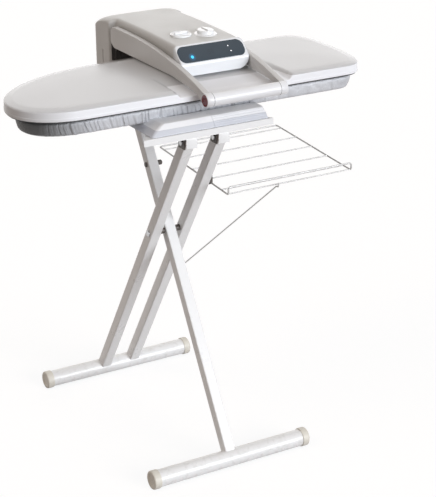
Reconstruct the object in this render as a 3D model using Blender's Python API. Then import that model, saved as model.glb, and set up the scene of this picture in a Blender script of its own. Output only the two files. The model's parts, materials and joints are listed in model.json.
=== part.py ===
"""A free-standing steam ironing press on a folding stand, with a wire rack under the board.

Lengths are in metres. X runs along the board from its rounded nose, Y runs from the handle
side to the column side, and Z is up from the floor. The sizes below are measured from the
board's working centre, and the frame centre moves all of it to the middle of its footprint.
"""
import math

import bmesh
import bpy
import numpy as np
from mathutils import Vector

# Shared fits
clearance = 0.0003
overrun = 0.004
smooth_angle = math.radians(32)

# Outline of the platen, which the board follows with an inset
platen_left = -0.530
platen_right = 0.540
platen_front = -0.1965
platen_rear = 0.1985
nose_tip_y = -0.060
nose_rear_start = -0.150
nose_front_start = -0.360
end_tip_y = 0.060
end_rear_start = 0.450
end_front_start = 0.440
nose_rear_power_share = 1.9
nose_front_power_share = 2.2
end_rear_power_share = 2.6
end_front_power_share = 3.0
corner_weight = 0.15
quarter_steps = 40

# Height of the base's floor, which every height above it follows
pan_floor_z = 0.9803

# Platen
platen_height = 0.0315
platen_round = 0.012
platen_draft = 0.001
platen_wall = 0.0025
platen_points = 76
ramp_left = -0.100
ramp_right = 0.272
ramp_start_y = -0.030
ramp_depth = 0.015
ramp_side = 0.014
catch_slot_left = 0.015
catch_slot_right = 0.169
catch_slot_height = 0.0035
catch_slot_drop = 0.0045
plate_thickness = 0.013
plate_rim = 0.004
plate_inset = 0.004
plate_points = 60
steam_hole_radius = 0.0028
steam_hole_columns = 8
steam_hole_rows = 3
steam_hole_pitch_x = 0.095
steam_hole_pitch_y = 0.085

# Lower board
press_gap = 0.0055
board_seat = 0.0009
board_inset = 0.025
board_height = 0.0416
board_waist_share = 0.30
board_side_share = 0.60
board_cover_wall = 0.002
board_crown = 0.0035
board_hem_inset = 0.011
board_shoulder = 0.008
board_points = 112
gather_depth = 0.0012
tray_thickness = 0.002
tray_inset = 0.016
pad_inset = 0.010

# Head: the arm cover, its column and what they hold
head_x = 0.086
cover_half_width = 0.105
cover_wall = 0.003
cover_front_y = -0.036
cover_rear_y = 0.3277
cover_above_platen = 0.007
cover_height = 0.0785
cover_crest_y = 0.200
cover_arch_drop = 0.0055
cover_corner = 0.011
cover_stations = 8
under_cover_thickness = 0.0025
under_window_x = 0.044
under_window_y = 0.034

column_overhang = 0.019
column_front_y = 0.328
column_rear_y = 0.440
column_lean = 0.002
column_below_cover = 0.088
column_wall = 0.003
column_edge = 0.012
column_shoulder_y = 0.345
column_shoulder_drop = 0.036
column_slot_y = 0.384
column_slot_low = 0.023
column_slot_height = 0.041
column_slot_width = 0.003

fascia_half_width = 0.1082
panel_top_y = -0.0405
panel_top_drop = 0.0047
panel_bottom_y = -0.085
panel_height = 0.0434
fascia_foot_y = -0.0865
fascia_foot_drop = 0.0042
fascia_wall = 0.004
fascia_edge = 0.002
fascia_low_corner = 0.034
fascia_high_corner = 0.012
glass_width = 0.205
glass_height = 0.0535
glass_thickness = 0.0016
glass_corner = 0.021
pocket_depth = 0.0016
card_width = 0.150
card_height = 0.026
card_thickness = 0.0016

lift_arm_thickness = 0.016
lift_arm_above_cover = 0.008
lift_arm_nose = 0.014
lift_arm_front_height = 0.020
lift_arm_rise_y = 0.030
lift_arm_rise_height = 0.036
lift_arm_shoulder_y = 0.345
lift_arm_shoulder_height = 0.044
lift_arm_knee_drop = 0.018
lift_hub_radius = 0.0145
lift_hub_length = 0.050
platen_hub_radius = 0.011
platen_hub_length = 0.050

hinge_y = 0.388
hinge_above_column = 0.007
hinge_pin_radius = 0.006
hinge_pin_head = 0.009
hinge_head_length = 0.003
bracket_plate = 0.003
bracket_ear = 0.006
bracket_half_depth = 0.020
bracket_top_above = 0.017
spring_wire_radius = 0.0011
spring_coil_radius = 0.0086
spring_turns = 4
spring_pitch = 0.0026
spring_leg_rise = 0.030
spring_end_play = 0.0005
spring_steps = 10

platen_pin_y = -0.005
platen_pin_above_cover = 0.018
platen_pin_radius = 0.005
platen_pin_head = 0.0075
platen_ear = 0.004
platen_ear_gap = 0.051
platen_ear_half_depth = 0.014
platen_ear_top_above = 0.013
platen_foot = 0.003
platen_foot_lip = 0.006

# Yoke: two arms, the handle and its steam buttons
arm_thickness = 0.018
arm_gap = 0.004
arm_crest_y = 0.250
arm_above_platen = 0.0042
arm_height = 0.0628
arm_rear_y = 0.322
arm_rear_round = 0.027
arm_flat_end_y = -0.060
arm_ramp_gap = 0.0065
arm_toe_back = 0.006
arm_toe_drop = 0.006
arm_heel_turn = -18
arm_tip_turn = 80
arm_tip_proud = 0.0012
arm_rear_top_round = 0.022
arm_edge = 0.0025
arm_curve_steps = 14
arm_drop_power_share = 2.3
handle_ahead = 0.0485
handle_above_base = 0.0115
handle_radius = 0.0185
handle_wall = 0.0016
handle_groove = 0.0005
handle_groove_width = 0.0012
handle_seam_x = 0.105
handle_screw_radius = 0.0022
handle_screw_head = 0.0040
handle_screw_head_length = 0.0022
handle_screw_inset = 0.0055
handle_screw_above = 0.006
handle_screw_back = 0.0325
handle_screw_reach = 0.0062
yoke_shaft_y = 0.285
yoke_shaft_above = 0.0288
yoke_shaft_radius = 0.006
yoke_socket_depth = 0.011
button_proud = 0.001
button_thickness = 0.006
button_dish = 0.0008
button_rim_share = 0.75
button_lip_share = 0.85

# Filler cap and dial on the arm cover
filler_x = 0.050
filler_y = 0.053
dial_x = 0.119
dial_y = 0.033
cap_disc_radius = 0.031
cap_disc_height = 0.006
cap_skirt_radius = 0.0125
cap_skirt_depth = 0.012
cap_grip_length = 0.044
cap_grip_width = 0.009
cap_grip_height = 0.005
cap_round = 0.002
dial_base_radius = 0.033
dial_base_height = 0.003
dial_knob_radius = 0.024
dial_knob_height = 0.011
dial_stem_radius = 0.004
dial_stem_depth = 0.016
dial_grip_width = 0.007
dial_grip_height = 0.003
neck_radius = 0.0155
neck_wall = 0.0025
tank_left_gap = 0.003
tank_width = 0.080
tank_front_y = 0.016
tank_length = 0.200
tank_height = 0.050
tank_wall = 0.002
tank_corner = 0.008

# Base under the board
pan_floor = 0.0027
pan_height = 0.0152
pan_wall = 0.0025
pan_flange_left = -0.203
pan_flange_right = 0.160
pan_flange_front = -0.2468
pan_flange_rear = 0.225
pan_corner = 0.022
pan_break_in = 0.036
pan_break_drop = 0.0018
pan_top_in = 0.066
pan_end_share = 0.18
pan_seam_x = -0.010
beam_half_width = 0.056
beam_front_y = -0.150
beam_rear_y = 0.412
beam_plate = 0.003
beam_height = 0.0115
rear_base_half_width = 0.115
rear_base_front_y = 0.235
rear_base_rear_y = 0.412
rear_base_drop = 0.0253
rear_base_edge = 0.004
gland_x = 0.160
gland_radius = 0.007
gland_collar = 0.0095
gland_length = 0.008
gland_bore = 0.0036
gland_lip_share = 0.8

# Stand
foot_centre_x = -0.035
foot_length = 0.510
foot_radius = 0.025
foot_wall = 0.0015
foot_sides = 24
end_cap_radius = 0.0275
end_cap_length = 0.022
end_cap_end = 0.004
end_cap_round = 0.003
end_cap_flat = 0.0005
front_foot_y = -0.358
rear_foot_y = 0.3665
leg_size = 0.032
leg_wall = 0.0015
leg_corner = 0.003
leg_spread = 0.100
leg_hinge_y = -0.2267
leg_hinge_below = 0.0333
leg_over_hinge = 0.016
bar_centre_x = -0.0285
bar_length = 0.400
front_bar_front = -0.2515
front_bar_depth = 0.050
front_bar_lip = 0.018
front_bar_cut = 0.030
bar_wall = 0.002
rear_bar_length = 0.360
rear_bar_radius = 0.0125
rear_bar_y = 0.198
leg_bracket_plate = 0.0025
leg_bracket_depth = 0.034
leg_bracket_below = 0.016
leg_play = 0.0004
bolt_radius = 0.004
bolt_head_radius = 0.0072
bolt_head = 0.0035
crossing_radius = 0.005
crossing_head_radius = 0.009
spacer_radius = 0.009
spacer_inner_play = 0.0004
cradle_plate = 0.0025
cradle_length = 0.052
cradle_above = 0.004
stop_knob_z = 0.784
stop_knob_radius = 0.0075
stop_knob_length = 0.017

# Wire rack
rack_left = 0.040
rack_right = 0.450
rack_front = -0.229
rack_rear = 0.180
rack_front_z = 0.772
rack_slope_share = 0.0635
rack_wire = 0.0025
rack_cross_wire = 0.0019
rack_lip = 0.022
rack_bend = 0.009
rack_cross_pitch = 0.085
rack_cross_first = 0.039
rack_pivot_y = -0.119
rack_pivot_above = 0.012
rack_hub_half_depth = 0.010
rack_hub_above = 0.011
rack_hub_below = 0.007
rack_hub_width = 0.013
rack_hub_round = 0.004
rack_bolt_inset = 0.014
rack_bolt_out = 0.003
stay_foot_y = 0.104
stay_foot_z = 0.420
stay_top_x = 0.200
stay_wire = 0.0019
stay_stand_off = 0.008
stay_hook_tail = 0.007
stay_hook_play = 0.0006

# Values worked out from the sizes above
pan_top_z = pan_floor_z + pan_height
board_low_z = pan_top_z + board_seat
board_top_z = board_low_z + board_height
platen_base_z = board_top_z + press_gap + plate_rim
platen_top_z = platen_base_z + platen_height
cover_bottom_z = platen_top_z + cover_above_platen
cover_top_z = cover_bottom_z + cover_height
column_half_width = cover_half_width + column_overhang
column_bottom_z = cover_bottom_z - column_below_cover
hinge_z = column_bottom_z + hinge_above_column
platen_pin_z = cover_bottom_z + platen_pin_above_cover
panel_top_z = cover_top_z - panel_top_drop
panel_bottom_z = panel_top_z - panel_height
lift_arm_low_z = cover_bottom_z + lift_arm_above_cover
arm_bottom_z = platen_top_z + arm_above_platen
arm_top_z = arm_bottom_z + arm_height
yoke_shaft_z = arm_bottom_z + yoke_shaft_above
handle_y = platen_front - handle_ahead
handle_z = platen_base_z + handle_above_base
button_radius = handle_radius - handle_wall - clearance
rear_base_low_z = pan_floor_z - rear_base_drop
foot_z = end_cap_radius - end_cap_flat
front_bar_top_z = pan_floor_z - clearance
leg_hinge_z = pan_floor_z - leg_hinge_below
rear_bar_z = pan_floor_z - clearance - rear_bar_radius
spring_length = 2 * spring_wire_radius + spring_pitch * (spring_turns + 0.5)
bracket_gap = lift_hub_length + 2 * (spring_length + 2 * clearance + spring_end_play)
panel_rise = Vector((0, panel_top_y - panel_bottom_y, panel_top_z - panel_bottom_z))
panel_middle = Vector((head_x, (panel_top_y + panel_bottom_y) / 2, (panel_top_z + panel_bottom_z) / 2))
panel_turn = math.atan2(panel_rise.z, panel_rise.y)
arm_inner = cover_half_width + arm_gap
arm_outer = arm_inner + arm_thickness
frame_centre_at = Vector((
    -(platen_left + platen_right) / 2,
    -(front_foot_y - end_cap_radius + column_rear_y) / 2,
    0,
))


def crossing_point():
    """Place where the centre lines of the outer and inner legs cross, seen along X."""
    outer_run = (leg_hinge_y - rear_foot_y) / (leg_hinge_z - foot_z)
    inner_run = (rear_bar_y - front_foot_y) / (rear_bar_z - foot_z)
    rise = (rear_foot_y - front_foot_y) / (inner_run - outer_run)
    return front_foot_y + inner_run * rise, foot_z + rise


crossing_y, crossing_z = crossing_point()
outer_leg_turn = math.atan2(rear_foot_y - leg_hinge_y, leg_hinge_z - foot_z)
inner_leg_turn = math.atan2(front_foot_y - rear_bar_y, rear_bar_z - foot_z)
outer_leg_length = math.hypot(leg_hinge_y - rear_foot_y, leg_hinge_z - foot_z)
inner_leg_length = math.hypot(rear_bar_y - front_foot_y, rear_bar_z - foot_z)


def rack_z(y):
    """Height of the rack's wires at a place along Y."""
    return rack_front_z + rack_slope_share * (y - rack_front)


rack_pivot_z = rack_z(rack_pivot_y) + rack_pivot_above


def clear_scene():
    """Remove what a new file holds."""
    for thing in list(bpy.data.objects):
        bpy.data.objects.remove(thing, do_unlink=True)


def paint(name, colour, roughness, metallic=0.0):
    """A Principled material of one colour, made once and shared."""
    found = bpy.data.materials.get(name)
    if found:
        return found
    material = bpy.data.materials.new(name)
    material.use_nodes = True
    shader = material.node_tree.nodes["Principled BSDF"]
    shader.inputs["Base Color"].default_value = (*colour, 1)
    shader.inputs["Roughness"].default_value = roughness
    shader.inputs["Metallic"].default_value = metallic
    return material


def body(name, pivot, parent=None):
    """An empty on a joint's axis, which carries the pieces of one moving body."""
    empty = bpy.data.objects.new(name, None)
    bpy.context.collection.objects.link(empty)
    empty["pivot"] = tuple(pivot)
    if parent:
        empty.parent = parent
        empty.location = Vector(pivot) - Vector(parent["pivot"])
    else:
        empty.location = frame_centre_at + Vector(pivot)
    return empty


def add(name, shape, material, carrier, at=(0, 0, 0), turn_x=0.0, smooth=True):
    """Make an object from a bmesh, give it its colour and hang it on its body."""
    bmesh.ops.recalc_face_normals(shape, faces=shape.faces)
    mesh = bpy.data.meshes.new(name)
    shape.to_mesh(mesh)
    shape.free()
    if smooth:
        mesh.shade_smooth()
        mesh.set_sharp_from_angle(angle=smooth_angle)
    thing = bpy.data.objects.new(name, mesh)
    bpy.context.collection.objects.link(thing)
    if material:
        mesh.materials.append(material)
    thing.parent = carrier
    thing.location = Vector(at) - Vector(carrier["pivot"])
    thing.rotation_euler = (turn_x, 0, 0)
    return thing


def cutter(name, shape, carrier, at=(0, 0, 0), turn_x=0.0):
    """A guide that shapes another piece and isn't a piece itself."""
    thing = add(name, shape, None, carrier, at, turn_x, smooth=False)
    thing.hide_render = True
    thing.display_type = "WIRE"
    return thing


def boolean(thing, tool, operation="DIFFERENCE"):
    """Cut, or join, one object with another."""
    step = thing.modifiers.new(tool.name, "BOOLEAN")
    step.operation = operation
    step.solver = "EXACT"
    step.object = tool


def bevel(thing, width, segments=2, angle=math.radians(50)):
    """Round the sharp edges of an object."""
    step = thing.modifiers.new("edges", "BEVEL")
    step.width = width
    step.segments = segments
    step.limit_method = "ANGLE"
    step.angle_limit = angle


def loft(loops, closed=False):
    """Skin a row of loops that have one number of points, with a cap at each end."""
    shape = bmesh.new()
    rows = [[shape.verts.new(point) for point in loop] for loop in loops]
    count = len(rows[0])
    pairs = list(zip(rows, rows[1:]))
    if closed:
        pairs.append((rows[-1], rows[0]))
    for low, high in pairs:
        for k in range(count):
            n = (k + 1) % count
            shape.faces.new((low[k], low[n], high[n], high[k]))
    if not closed:
        shape.faces.new(list(reversed(rows[0])))
        shape.faces.new(rows[-1])
    return shape


def on_axis(axis, along, a, b):
    """A point at a place along one axis, with the other two places in X, Y, Z order."""
    return {"X": (along, a, b), "Y": (a, along, b), "Z": (a, b, along)}[axis]


def prism(outline, axis, low, high):
    """Extrude a closed outline along an axis."""
    return loft([[on_axis(axis, along, a, b) for a, b in outline] for along in (low, high)])


def box(low, high):
    """A block between two corners."""
    outline = ((low[0], low[1]), (high[0], low[1]), (high[0], high[1]), (low[0], high[1]))
    return prism(outline, "Z", low[2], high[2])


def turned(profile, axis, centre, sides=20, ring=False):
    """Turn a profile of (radius, place along) about an axis; a ring's profile is a closed loop."""
    shape = bmesh.new()
    rows = []
    for radius, along in profile:
        if radius == 0:
            rows.append([shape.verts.new(on_axis(axis, along, *centre))])
            continue
        row = []
        for k in range(sides):
            angle = 2 * math.pi * (k + 0.5) / sides
            a = centre[0] + radius * math.cos(angle)
            b = centre[1] + radius * math.sin(angle)
            row.append(shape.verts.new(on_axis(axis, along, a, b)))
        rows.append(row)
    pairs = list(zip(rows, rows[1:]))
    if ring:
        pairs.append((rows[-1], rows[0]))
    for low, high in pairs:
        for k in range(sides):
            n = (k + 1) % sides
            corners = []
            for vert in (low[k % len(low)], low[n % len(low)], high[n % len(high)], high[k % len(high)]):
                if vert not in corners:
                    corners.append(vert)
            if len(corners) > 2:
                shape.faces.new(corners)
    return shape


def rod(radius, axis, centre, low, high, sides=16):
    """A plain round rod."""
    return turned(((0, low), (radius, low), (radius, high), (0, high)), axis, centre, sides)


def pin(radius, head_radius, head, axis, centre, low, high, sides=16):
    """A round pin with a flat head at each end; low and high are the heads' inner faces."""
    profile = (
        (0, low - head), (head_radius, low - head), (head_radius, low), (radius, low),
        (radius, high), (head_radius, high), (head_radius, high + head), (0, high + head),
    )
    return turned(profile, axis, centre, sides)


def rounded_rect(width, depth, corner, steps=2):
    """Outline of a rectangle about the origin with round corners."""
    points = []
    for quarter in range(4):
        sign_x = (1, -1, -1, 1)[quarter]
        sign_y = (1, 1, -1, -1)[quarter]
        centre_x = sign_x * (width / 2 - corner)
        centre_y = sign_y * (depth / 2 - corner)
        for k in range(steps + 1):
            angle = math.pi / 2 * (quarter + k / steps)
            points.append((centre_x + corner * math.cos(angle), centre_y + corner * math.sin(angle)))
    return points


def arc(centre, radius, start, end, steps):
    """Points on an arc, in degrees."""
    points = []
    for k in range(steps + 1):
        angle = math.radians(start + (end - start) * k / steps)
        points.append((centre[0] + radius * math.cos(angle), centre[1] + radius * math.sin(angle)))
    return points


def hollow_bar(width, depth, corner, wall, low, high):
    """A square tube along Z with open ends."""
    outer = rounded_rect(width, depth, corner)
    inner = rounded_rect(width - 2 * wall, depth - 2 * wall, corner - wall)
    loops = [[(x, y, z) for x, y in outline] for outline, z in (
        (outer, low), (outer, high), (inner, high), (inner, low))]
    return loft(loops, closed=True)


def hollow_tube(radius, wall, axis, centre, low, high, sides):
    """A round tube with open ends."""
    profile = ((radius, low), (radius, high), (radius - wall, high), (radius - wall, low))
    return turned(profile, axis, centre, sides, ring=True)


def sweep(points, radius, sides=6, cyclic=False):
    """Carry a round section along a path in space."""
    path = [Vector(point) for point in points]
    count = len(path)
    tangents = []
    for k in range(count):
        before = path[k - 1] if cyclic or k > 0 else path[k]
        after = path[(k + 1) % count] if cyclic or k < count - 1 else path[k]
        tangents.append((after - before).normalized())
    side = tangents[0].orthogonal().normalized()
    loops = []
    for k in range(count):
        if k:
            side = tangents[k - 1].rotation_difference(tangents[k]) @ side
        side = (side - side.dot(tangents[k]) * tangents[k]).normalized()
        up = tangents[k].cross(side)
        loops.append([
            path[k] + radius * (math.cos(math.tau * n / sides) * side + math.sin(math.tau * n / sides) * up)
            for n in range(sides)
        ])
    if not cyclic:
        return loft(loops)
    turn = round(math.atan2((loops[0][0] - path[0]).cross(side).dot(tangents[0]), 0))
    return loft(match_seam(loops, turn), closed=True)


def match_seam(loops, turn):
    """Renumber each loop so that a closed path's last section meets its first without a twist."""
    first, last = loops[0], loops[-1]
    count = len(first)
    middle_first = sum(first, Vector()) / count
    middle_last = sum(last, Vector()) / count
    best = min(range(count), key=lambda n: sum(
        ((first[k] - middle_first) - (last[(k + n) % count] - middle_last)).length
        for k in range(count)))
    if best == 0 and turn == 0:
        return loops
    shifted = []
    for index, loop in enumerate(loops):
        step = best if index == len(loops) - 1 else 0
        shifted.append([loop[(k + step) % count] for k in range(count)])
    return shifted


def bend_corners(points, radius, steps=3, cyclic=False):
    """Replace the corners of a path in space by bends of one radius."""
    path = [Vector(point) for point in points]
    count = len(path)
    bent = []
    for k in range(count):
        if not cyclic and k in (0, count - 1):
            bent.append(path[k])
            continue
        into = (path[k] - path[k - 1]).normalized()
        out = (path[(k + 1) % count] - path[k]).normalized()
        angle = into.angle(out)
        reach = radius * math.tan(angle / 2)
        start = path[k] - into * reach
        centre = start + (out - into * into.dot(out)).normalized() * radius
        turn_axis = into.cross(out).normalized()
        arm = start - centre
        for n in range(steps + 1):
            share = angle * n / steps
            bent.append(centre + arm * math.cos(share) + turn_axis.cross(arm) * math.sin(share))
    return bent


def outline_points(inset, count, weight=corner_weight):
    """Outline of the board, drawn in by an inset and read at even steps.

    Four quarters of superellipses make it: the square end's rear and front corners share one
    tip line, and the nose's rear and front curves share another. A weight puts more of the
    points where the outline turns.
    """
    quarters = (
        (end_rear_start, end_tip_y, platen_right, platen_rear, end_rear_power_share),
        (nose_rear_start, nose_tip_y, platen_left, platen_rear, nose_rear_power_share),
        (nose_front_start, nose_tip_y, platen_left, platen_front, nose_front_power_share),
        (end_front_start, end_tip_y, platen_right, platen_front, end_front_power_share),
    )
    track = []
    for index, (x, y, tip_x, side_y, power) in enumerate(quarters):
        angles = np.linspace(0, math.pi / 2, quarter_steps)
        if index % 2:
            angles = angles[::-1]
        reach_x = abs(tip_x - x) - inset
        reach_y = abs(side_y - y) - inset
        across = x + math.copysign(1, tip_x - x) * reach_x * np.cos(angles).clip(0) ** (2 / power)
        up = y + math.copysign(1, side_y - y) * reach_y * np.sin(angles).clip(0) ** (2 / power)
        track.append(np.stack([across, up], axis=1))
    track = np.concatenate(track)
    keep = np.r_[True, np.hypot(*np.diff(track, axis=0).T) > clearance]
    track = track[keep]
    track = np.concatenate([track, track[:1]])
    steps = np.diff(track, axis=0)
    heading = np.unwrap(np.arctan2(steps[:, 1], steps[:, 0]))
    turn = np.r_[0, np.abs(np.diff(heading))]
    measure = np.r_[0, np.cumsum(np.hypot(*steps.T) + weight * turn)]
    places = np.linspace(0, measure[-1], count, endpoint=False)
    return [
        (float(np.interp(place, measure, track[:, 0])), float(np.interp(place, measure, track[:, 1])))
        for place in places
    ]


def level_loops(levels, count, weight=corner_weight):
    """Loops of the board's outline at pairs of inset and height."""
    return [[(x, y, z) for x, y in outline_points(inset, count, weight)] for inset, z in levels]


def cover_top(y):
    """Height of the arm cover's top, a shallow arch along Y."""
    share = (cover_crest_y - y) / (cover_crest_y - cover_front_y)
    return cover_top_z - cover_arch_drop * share * share


def cover_tilt(y):
    """Angle at which the arm cover's top leans at a place along Y."""
    return math.atan(2 * cover_arch_drop * (cover_crest_y - y) / (cover_crest_y - cover_front_y) ** 2)


def ramp_z(y):
    """Height of the platen's sloping middle in front of the ramp's start."""
    share = max(0, (ramp_start_y - y) / (ramp_start_y - platen_front))
    return platen_top_z - ramp_depth * share


def make_materials():
    """Colours of the press and its stand."""
    return {
        "grey": paint("body_light_grey", (0.60, 0.59, 0.58), 0.32),
        "platen": paint("platen_light_grey", (0.63, 0.63, 0.63), 0.30),
        "white": paint("fascia_white", (0.86, 0.86, 0.88), 0.25),
        "glass": paint("panel_glass", (0.045, 0.065, 0.095), 0.08),
        "red": paint("button_dark_red", (0.16, 0.012, 0.014), 0.30),
        "stand": paint("stand_white_paint", (0.83, 0.83, 0.84), 0.22),
        "cap": paint("cap_cream", (0.78, 0.76, 0.70), 0.45),
        "cloth": paint("cover_silver_cloth", (0.47, 0.48, 0.50), 0.55, 0.3),
        "foam": paint("pad_foam", (0.70, 0.66, 0.55), 0.90),
        "steel": paint("zinc_steel", (0.55, 0.55, 0.56), 0.35, 1.0),
        "alloy": paint("cast_alloy", (0.66, 0.66, 0.67), 0.40, 1.0),
        "wire": paint("rack_wire_grey", (0.62, 0.62, 0.62), 0.35, 0.4),
        "dark": paint("bracket_dark", (0.10, 0.085, 0.075), 0.45, 0.6),
        "tank": paint("tank_clear", (0.55, 0.65, 0.72), 0.12),
        "card": paint("card_green", (0.05, 0.22, 0.10), 0.50),
        "black": paint("gland_black", (0.03, 0.03, 0.03), 0.50),
    }


def make_platen(carrier, colours):
    """Platen cover with its sloping middle, heating plate and pivot bracket."""
    round_steps = 3
    levels = [(0, platen_base_z), (platen_draft, platen_top_z - platen_round)]
    for k in range(1, round_steps + 1):
        angle = math.pi / 2 * k / round_steps
        levels.append((
            platen_draft + platen_round * (1 - math.cos(angle)),
            platen_top_z - platen_round * (1 - math.sin(angle)),
        ))
    cover = add("platen_cover", loft(level_loops(levels, platen_points)), colours["platen"], carrier)

    def ramp(name, wall):
        """Wedge that slopes the middle of the cover; a wall keeps the hollow clear below it."""
        rear_y = ramp_start_y + wall
        front_y = platen_front - overrun
        fall = ramp_depth * (ramp_start_y - front_y) / (ramp_start_y - platen_front)
        top = platen_top_z + overrun
        floor = platen_top_z - wall
        shape = bmesh.new()
        rear = [shape.verts.new((x, rear_y, z)) for x in (ramp_left - wall, ramp_right + wall)
                for z in (floor, top)]
        front = [shape.verts.new((x, front_y, z)) for x, z in (
            (ramp_left + ramp_side - wall, floor - fall), (ramp_left - wall, top),
            (ramp_right - ramp_side + wall, floor - fall), (ramp_right + wall, top))]
        low_left, high_left, low_right, high_right = rear
        near_low_left, near_high_left, near_low_right, near_high_right = front
        for corners in (
            (low_left, low_right, high_right, high_left),
            (near_low_left, near_high_left, near_high_right, near_low_right),
            (low_left, high_left, near_high_left, near_low_left),
            (low_right, near_low_right, near_high_right, high_right),
            (high_left, high_right, near_high_right, near_high_left),
            (low_left, near_low_left, near_low_right, low_right),
        ):
            shape.faces.new(corners)
        return cutter(name, shape, carrier)

    hollow_levels = (
        (platen_wall, platen_base_z - overrun),
        (platen_wall + platen_draft, platen_top_z - platen_round),
        (platen_draft + platen_round, platen_top_z - platen_wall),
    )
    hollow = cutter("platen_hollow", loft(level_loops(hollow_levels, platen_points)), carrier)
    boolean(hollow, ramp("ramp_under", platen_wall))
    boolean(cover, ramp("ramp_over", 0))
    boolean(cover, hollow)
    slot_z = platen_top_z - ramp_depth + catch_slot_drop
    slot = cutter("catch_slot", box(
        (catch_slot_left, platen_front - overrun, slot_z - catch_slot_height - catch_slot_drop),
        (catch_slot_right, platen_front + platen_wall + overrun, slot_z - catch_slot_drop)), carrier)
    boolean(cover, slot)

    plate_low = platen_base_z - plate_rim
    plate_outline = outline_points(plate_inset, plate_points)
    plate = add("heating_plate", prism(plate_outline, "Z", plate_low, plate_low + plate_thickness),
                colours["alloy"], carrier, smooth=False)
    holes = bmesh.new()
    for column in range(steam_hole_columns):
        for row in range(steam_hole_rows):
            x = (column - (steam_hole_columns - 1) / 2) * steam_hole_pitch_x
            y = (row - (steam_hole_rows - 1) / 2) * steam_hole_pitch_y
            hole = rod(steam_hole_radius, "Z", (x, y), plate_low - overrun,
                       plate_low + plate_thickness + overrun, sides=6)
            single = bpy.data.meshes.new("hole")
            hole.to_mesh(single)
            holes.from_mesh(single)
            hole.free()
            bpy.data.meshes.remove(single)
    boolean(plate, cutter("steam_holes", holes, carrier))

    half_gap = platen_ear_gap / 2
    foot_z_low = platen_top_z + clearance
    ear_top = platen_pin_z + platen_ear_top_above
    section = (
        (-half_gap - platen_ear - platen_foot_lip, foot_z_low),
        (half_gap + platen_ear + platen_foot_lip, foot_z_low),
        (half_gap + platen_ear + platen_foot_lip, foot_z_low + platen_foot),
        (half_gap + platen_ear, foot_z_low + platen_foot),
        (half_gap + platen_ear, ear_top),
        (half_gap, ear_top),
        (half_gap, foot_z_low + platen_foot),
        (-half_gap, foot_z_low + platen_foot),
        (-half_gap, ear_top),
        (-half_gap - platen_ear, ear_top),
        (-half_gap - platen_ear, foot_z_low + platen_foot),
        (-half_gap - platen_ear - platen_foot_lip, foot_z_low + platen_foot),
    )
    bracket = add("platen_bracket",
                  prism([(head_x + x, z) for x, z in section], "Y",
                        platen_pin_y - platen_ear_half_depth, platen_pin_y + platen_ear_half_depth),
                  colours["steel"], carrier, smooth=False)
    reach = half_gap + platen_ear + overrun
    boolean(bracket, cutter("platen_pin_bore", rod(
        platen_pin_radius + clearance, "X", (platen_pin_y, platen_pin_z),
        head_x - reach, head_x + reach), carrier))


def make_board(carrier, colours):
    """Lower board: steel tray, foam pad and the gathered cloth cover."""
    inner = board_cover_wall
    outer_levels = (
        (board_inset + board_hem_inset, board_low_z),
        (board_inset + gather_depth, board_low_z + board_height * board_waist_share),
        (board_inset, board_low_z + board_height * board_side_share),
        (board_inset + board_shoulder / 2, board_top_z - board_crown - board_shoulder / 2),
        (board_inset + board_shoulder * 2, board_top_z - board_crown / 2),
        (board_inset + board_shoulder * 5, board_top_z),
    )
    inner_levels = (
        (board_inset + board_shoulder * 5, board_top_z - inner),
        (board_inset + board_shoulder / 2 + inner, board_top_z - board_crown - board_shoulder / 2 - inner),
        (board_inset + board_hem_inset + inner, board_low_z),
    )
    loops = level_loops(outer_levels + inner_levels, board_points, weight=0)
    gathered = (0, 1, len(loops) - 1)
    for index in gathered:
        loop = loops[index]
        middle = [loop[k - 1] for k in range(board_points)]
        moved = []
        for k, (x, y, z) in enumerate(loop):
            ahead = loop[(k + 1) % board_points]
            behind = middle[k]
            run = Vector((ahead[0] - behind[0], ahead[1] - behind[1], 0)).normalized()
            sign = 1 if k % 2 else -1
            moved.append((x + run.y * sign * gather_depth, y - run.x * sign * gather_depth, z))
        loops[index] = moved
    shape = bmesh.new()
    rows = [[shape.verts.new(point) for point in loop] for loop in loops]
    outer_top = len(outer_levels) - 1
    for index in range(len(rows)):
        low, high = rows[index], rows[(index + 1) % len(rows)]
        if index == outer_top:
            shape.faces.new(low)
            shape.faces.new(list(reversed(high)))
            continue
        for k in range(board_points):
            n = (k + 1) % board_points
            shape.faces.new((low[k], low[n], high[n], high[k]))
    add("board_cover", shape, colours["cloth"], carrier)

    tray_outline = outline_points(board_inset + tray_inset, plate_points)
    tray = prism(tray_outline, "Z", board_low_z - clearance, board_low_z - clearance + tray_thickness)
    add("board_tray", tray, colours["steel"], carrier, smooth=False)
    pad_low = board_low_z + tray_thickness
    pad_top = board_top_z - inner - clearance
    pad_levels = (
        (board_inset + tray_inset + inner, pad_low),
        (board_inset + pad_inset, board_low_z + board_height * board_side_share),
        (board_inset + board_shoulder + pad_inset, board_top_z - board_crown - board_shoulder - inner),
        (board_inset + board_shoulder * 5 + inner, pad_top),
    )
    add("board_pad", loft(level_loops(pad_levels, plate_points)), colours["foam"], carrier)


def pan_outline(sign, seam, inset, wall):
    """Outline of one base pan: its outer corners are round and its side at the seam is straight.

    The right pan's end is steeper than its other sides, to leave room for the beam.
    """
    outer = pan_flange_left + inset + wall
    if sign > 0:
        outer = pan_flange_right - inset * pan_end_share - wall
    front = pan_flange_front + inset + wall
    rear = pan_flange_rear - inset - wall
    front_corner = arc((outer - sign * pan_corner, front + pan_corner), pan_corner, 270, 270 + sign * 90, 3)
    rear_corner = arc((outer - sign * pan_corner, rear - pan_corner), pan_corner, 90 - sign * 90, 90, 3)
    return [(seam, front)] + front_corner + rear_corner + [(seam, rear)]


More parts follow.
